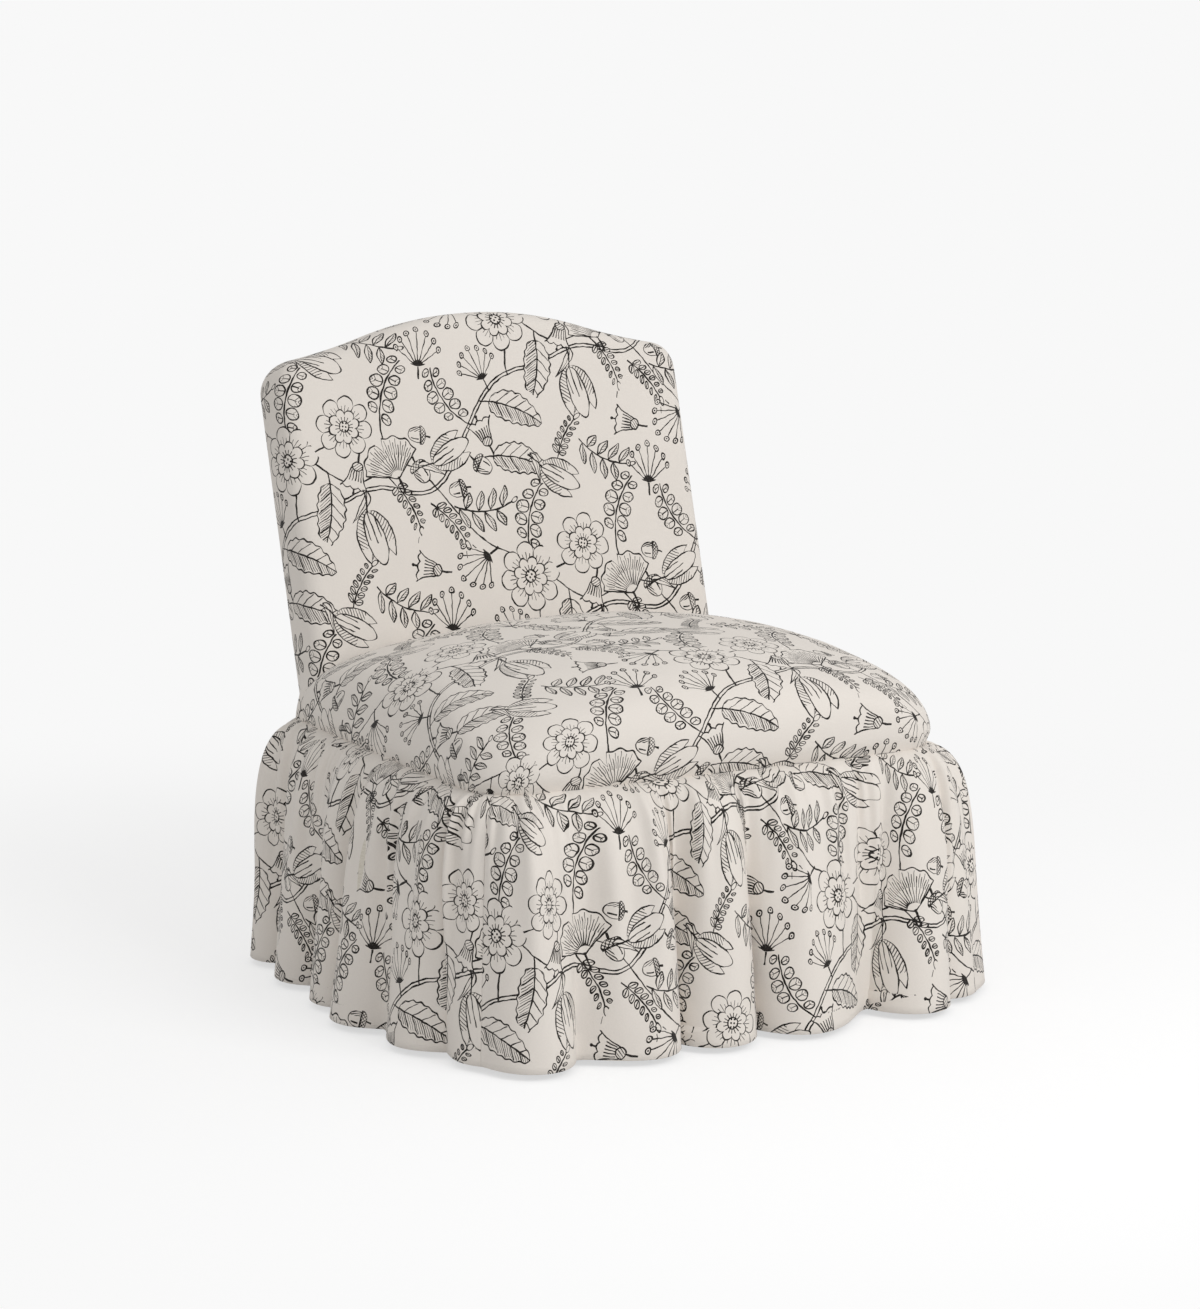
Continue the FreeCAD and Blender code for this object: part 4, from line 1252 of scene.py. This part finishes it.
# Folds along each hem in millimetres, as (place along the hem from its first corner, swing out
# from the mean line). Each panel is (first corner, last corner, folds, seed of its gathers).
front_folds = [(0, -6), (70, 22), (122, -8), (212, 27), (264, -20), (319, 27), (377, -24),
               (440, 28), (552, -27), (612, 20), (664, -10), (714, 6)]
right_folds = [(0, 6), (74, 20), (128, -22), (196, 26), (262, -24), (330, 22), (392, -18),
               (452, 27), (520, -26), (584, 18), (656, 4)]
rear_folds = [(0, 4), (62, 16), (118, -22), (182, 24), (240, -18), (300, 27), (366, -25),
              (432, 22), (488, -20), (548, 26), (600, -14), (658, -6)]
left_folds = [(0, -6), (48, 4), (104, -26), (170, 12), (226, -24), (292, 16), (334, -12),
              (384, 27), (446, -8), (510, 10), (574, -27), (656, -6)]
skirt_panels = {
    "front": ((-1, -1), (1, -1), front_folds, 11),
    "right": ((1, -1), (1, 1), right_folds, 12),
    "rear": ((1, 1), (-1, 1), rear_folds, 13),
    "left": ((-1, 1), (-1, -1), left_folds, 14)}


def skirt_path(start, end, places):
    """Points of the seam line under places along the hem, their outward and forward directions,
    and the hem's length. Places run from 0 to 1 between the middles of two corners."""
    def corner(c):
        """The middle and radius of one corner of the seam line."""
        radius = seam_front_radius if c[1] < 0 else seam_rear_radius
        y = seam_front + radius if c[1] < 0 else seam_rear - radius
        return np.array([c[0] * (seam_half - radius), y]), radius

    first, first_radius = corner(start)
    last, last_radius = corner(end)
    along = np.array([end[0] - start[0], end[1] - start[1]]) / 2
    outward = np.array([along[1], -along[0]])
    straight = float((last - first) @ along)
    quarter = math.pi / 4
    first_arc = (first_radius + flare_for_length) * quarter
    last_arc = (last_radius + flare_for_length) * quarter
    length = first_arc + straight + last_arc
    base, out, forward = [], [], []
    for place in places * length:
        if place < first_arc:
            angle = quarter * (place / first_arc - 1)
            centre, radius = first, first_radius
        elif place <= first_arc + straight:
            angle, centre, radius = 0.0, first + along * (place - first_arc), first_radius
        else:
            angle = quarter * (place - first_arc - straight) / last_arc
            centre, radius = last, last_radius
        way = outward * math.cos(angle) + along * math.sin(angle)
        on = along * math.cos(angle) - outward * math.sin(angle)
        edge = radius
        if angle == 0.0:
            share = (place - first_arc) / straight
            edge = first_radius + (last_radius - first_radius) * share
            centre = first + (last - first) * share
        base.append(centre + way * edge)
        out.append(way)
        forward.append(on)
    return np.array(base), np.array(out), np.array(forward), length


def smooth_curve(points, at):
    """A smooth line through points, by cubic pieces with level crests."""
    xs = np.array([p[0] for p in points], float)
    ys = np.array([p[1] for p in points], float)
    slopes = np.gradient(ys, xs)
    turning = np.sign(np.diff(ys))
    for k in range(1, len(xs) - 1):
        if turning[k - 1] != turning[k]:
            slopes[k] = 0.0
    slopes[0] = slopes[-1] = 0.0
    k = np.clip(np.searchsorted(xs, at, side="right") - 1, 0, len(xs) - 2)
    h = xs[k + 1] - xs[k]
    t = (at - xs[k]) / h
    a = (1 + 2 * t) * (1 - t) ** 2
    b = t * (1 - t) ** 2
    c = t * t * (3 - 2 * t)
    d = t * t * (t - 1)
    return a * ys[k] + b * h * slopes[k] + c * ys[k + 1] + d * h * slopes[k + 1]


def skirt_sheet(name, panel, step, layer, shorten=0.0, gathers=1.0):
    """One hanging panel at a layer's distance from the seam line, with its cloth map. A panel that
    isn't shortened is tucked in at its head and hemmed. Gives the piece, its width and length."""
    start, end, folds, seed = skirt_panels[panel]
    rough = skirt_path(start, end, np.array([0.0, 1.0]))[3]
    count = int(rough * cloth_fullness / step)
    places = np.linspace(0, 1, count + 1)
    base, out, forward, length = skirt_path(start, end, places)
    scale = length / (folds[-1][0] / 1000)
    stations = [(p / 1000 * scale, s / 1000) for p, s in folds]
    at = places * length
    rng = random.Random(seed)
    pleats = []
    place = gather_pitch * 0.5
    while place < length - gather_pitch * 0.4:
        tall = rng.choice(gather_heights)
        pleats.append((place, tall, rng.uniform(0.02, 0.07) + 16 * tall * rng.uniform(0.4, 1.3),
                       rng.uniform(0.45, 0.75) * gather_pitch,
                       rng.uniform(-gather_drift, gather_drift)))
        place += gather_pitch * rng.uniform(0.55, 1.6)
    ends = np.clip(np.minimum(at, length - at) / corner_calm, 0, 1)
    wander = np.array([noise.noise(Vector((x * wander_scale, seed * 7.3, 0.0)))
                       for x in at]) * ends
    creases = np.array([noise.noise(Vector((x * crease_scale, seed * 3.1, 5.0)))
                        for x in at]) * ends
    drops = [skirt_drop * (k / skirt_rows) ** row_crowding for k in range(skirt_rows + 1)]
    drops = [d for d in drops if d < skirt_drop - shorten] + [skirt_drop - shorten]
    rows = []
    if shorten == 0:
        rows.append(np.column_stack([base - out * (head_tuck + head_turn),
                                     np.full(len(at), seam_height + head_rise)]))
    for drop in drops:
        share = drop / skirt_drop
        reach = puff_reach * (1 - math.exp(-drop / puff_drop)) + flare_slope * drop
        reach -= head_tuck * math.exp(-drop / head_fade)
        fold = hem_swing * ((1 - fold_start) * share ** fold_growth
                            + fold_start * (1 - math.exp(-drop / fold_start_drop)))
        swing = smooth_curve(stations, at + wander * fold_wander * (1 - share))
        slope = np.gradient(swing, at)
        small = np.zeros(len(at))
        for middle, height, fade, width, drift in pleats:
            wide = width * (1 + gather_spread * share)
            grow = gather_seam + height * (1 - math.exp(-drop / gather_swell))
            tall = grow * math.exp(-(drop / fade) ** 1.6)
            x = np.clip((at - middle - drift * share) / wide, -1, 1)
            small += np.where(np.abs(x) < 1, np.cos(x * math.pi / 2) ** 2, 0) * tall
        small += creases * crease_depth * math.exp(-((share - crease_at) / crease_spread) ** 2)
        small *= ends ** 0.5
        side = -fold_roll * slope * fold
        lift = layer + reach + swing * fold + small * gathers
        xy = base + out * lift[:, None] + forward * side[:, None]
        rows.append(np.column_stack([xy, np.full(len(at), seam_height - drop)]))
    hem = rows[-1]
    if shorten == 0:
        for above, inward in hem_turn:
            row = hem.copy()
            row[:, :2] -= out * inward
            row[:, 2] = seam_height - (skirt_drop - above)
            rows.append(row)
    grid = np.array(rows)
    run = np.concatenate([[0], np.cumsum(np.linalg.norm(np.diff(hem, axis=0), axis=1))])
    middles = grid[:, :, :2].mean(axis=1)
    falls = [math.hypot(np.linalg.norm(middles[k] - middles[k - 1]),
                        grid[k, 0, 2] - grid[k - 1, 0, 2]) for k in range(1, len(rows))]
    fall = np.concatenate([[0], np.cumsum(falls)])
    maps = [(across, -down) for down in fall for across in run]
    faces = [f[:1] + f[:0:-1] for f in grid_faces(len(at), len(rows))]
    piece = grid_mesh(name, grid.reshape(-1, 3), faces, maps)
    return piece, float(run[-1]), float(fall[-1])


for panel in skirt_panels:
    piece, width, depth = skirt_sheet("skirt_" + panel + "_printed", panel, skirt_step,
                                      skirt_stand_off)
    thicken(piece, skirt_cloth)
    fit(piece, "printed_cotton", print_cotton, "skirt_" + panel)
    piece, width, depth = skirt_sheet("skirt_lining_" + panel, panel, lining_step,
                                      lining_stand_off, lining_shorter, gathers=0.0)
    fit(piece, "lining_cotton", lining_cotton, "skirt_lining")


# Floor, light and camera
# A pale seamless floor and an even studio light, seen from in front and a little above. The
# floor keeps the chair's shadow near it and turns into the plain backdrop further out.

floor_reach = 30
backdrop_level = 0.939
floor_shade = 0.42
floor_light = 0.78
floor_fades = (0.75, 1.9)
sky_level = 0.62


def grey(level):
    """A grey of a linear level, as the shaders take it."""
    return (level, level, level, 1)


def looked_at(tree):
    """1 for the camera, for reflections and through glass, and 0 for the light on the chair."""
    ray = add_node(tree, "ShaderNodeLightPath")
    return draw(tree, "seen = max(max(camera, glossy), clear)", {
        "camera": ray.outputs["Is Camera Ray"], "glossy": ray.outputs["Is Glossy Ray"],
        "clear": ray.outputs["Is Transmission Ray"]})["seen"]


floor_mesh = bpy.data.meshes.new("floor")
floor_mesh.from_pydata([(x * floor_reach, y * floor_reach, 0)
                        for x, y in ((-1, -1), (1, -1), (1, 1), (-1, 1))], [], [(0, 1, 2, 3)])
floor = bpy.data.objects.new("floor", floor_mesh)
bpy.context.scene.collection.objects.link(floor)
floor_paint = bpy.data.materials.new("pale_floor")
floor_paint.use_nodes = True
floor_tree = floor_paint.node_tree
floor_tree.nodes.clear()
lit = add_node(floor_tree, "ShaderNodeBsdfDiffuse", {"Color": grey(floor_shade)})
own = add_node(floor_tree, "ShaderNodeEmission", {
    "Color": grey(backdrop_level - floor_shade * floor_light)})
near_floor = add_node(floor_tree, "ShaderNodeAddShader", {0: lit.outputs[0], 1: own.outputs[0]})
far_floor = add_node(floor_tree, "ShaderNodeEmission", {"Color": grey(backdrop_level)})
floor_place = add_node(floor_tree, "ShaderNodeTexCoord")
from_chair = add_node(floor_tree, "ShaderNodeVectorMath", {0: floor_place.outputs["Object"]},
                      operation="LENGTH")
fade = add_node(floor_tree, "ShaderNodeMapRange", {
    "Value": from_chair.outputs["Value"], "From Min": floor_fades[0],
    "From Max": floor_fades[1]}, interpolation_type="SMOOTHSTEP")
shown_floor = add_node(floor_tree, "ShaderNodeMixShader", {
    0: fade.outputs[0], 1: near_floor.outputs[0], 2: far_floor.outputs[0]})
plain_floor = add_node(floor_tree, "ShaderNodeBsdfDiffuse", {"Color": grey(0.8)})
floor_mix = add_node(floor_tree, "ShaderNodeMixShader", {
    0: looked_at(floor_tree), 1: plain_floor.outputs[0], 2: shown_floor.outputs[0]})
add_node(floor_tree, "ShaderNodeOutputMaterial", {"Surface": floor_mix.outputs[0]})
dress(floor_mesh, floor_paint)

world = bpy.data.worlds.new("studio")
bpy.context.scene.world = world
world.use_nodes = True
world_tree = world.node_tree
world_tree.nodes.clear()
sky = add_node(world_tree, "ShaderNodeBackground", {"Color": grey(sky_level)})
backdrop = add_node(world_tree, "ShaderNodeBackground", {"Color": grey(backdrop_level)})
world_mix = add_node(world_tree, "ShaderNodeMixShader", {
    0: looked_at(world_tree), 1: sky.outputs[0], 2: backdrop.outputs[0]})
add_node(world_tree, "ShaderNodeOutputWorld", {"Surface": world_mix.outputs[0]})

bpy.context.scene.view_settings.view_transform = "Standard"

lamp_place = Vector((0.9, -2.6, 2.3))
lamp_aim = Vector((0, 0, 0.4))
lamp_data = bpy.data.lights.new("key", "AREA")
lamp_data.size = 1.6
lamp_data.energy = 42
lamp = bpy.data.objects.new("key", lamp_data)
lamp.location = lamp_place
lamp.rotation_euler = (lamp_aim - lamp_place).to_track_quat("-Z", "Y").to_euler()
bpy.context.scene.collection.objects.link(lamp)

camera_azimuth = math.radians(-28.73)
camera_elevation = math.radians(10.3)
camera_distance = 4.665
camera_target = Vector((-0.0131, -0.0333, 0.4279))
picture_long = 1309
focal_pixels = 3623.5
sensor_width = 36.0
camera_data = bpy.data.cameras.new("camera")
camera_data.sensor_width = sensor_width
camera_data.lens = sensor_width * focal_pixels / picture_long
camera = bpy.data.objects.new("camera", camera_data)
flat_reach = math.cos(camera_elevation)
camera.location = camera_target + camera_distance * Vector((
    math.sin(camera_azimuth) * flat_reach, -math.cos(camera_azimuth) * flat_reach,
    math.sin(camera_elevation)))
camera.rotation_euler = (camera_target - camera.location).to_track_quat("-Z", "Y").to_euler()
bpy.context.scene.collection.objects.link(camera)
bpy.context.scene.camera = camera
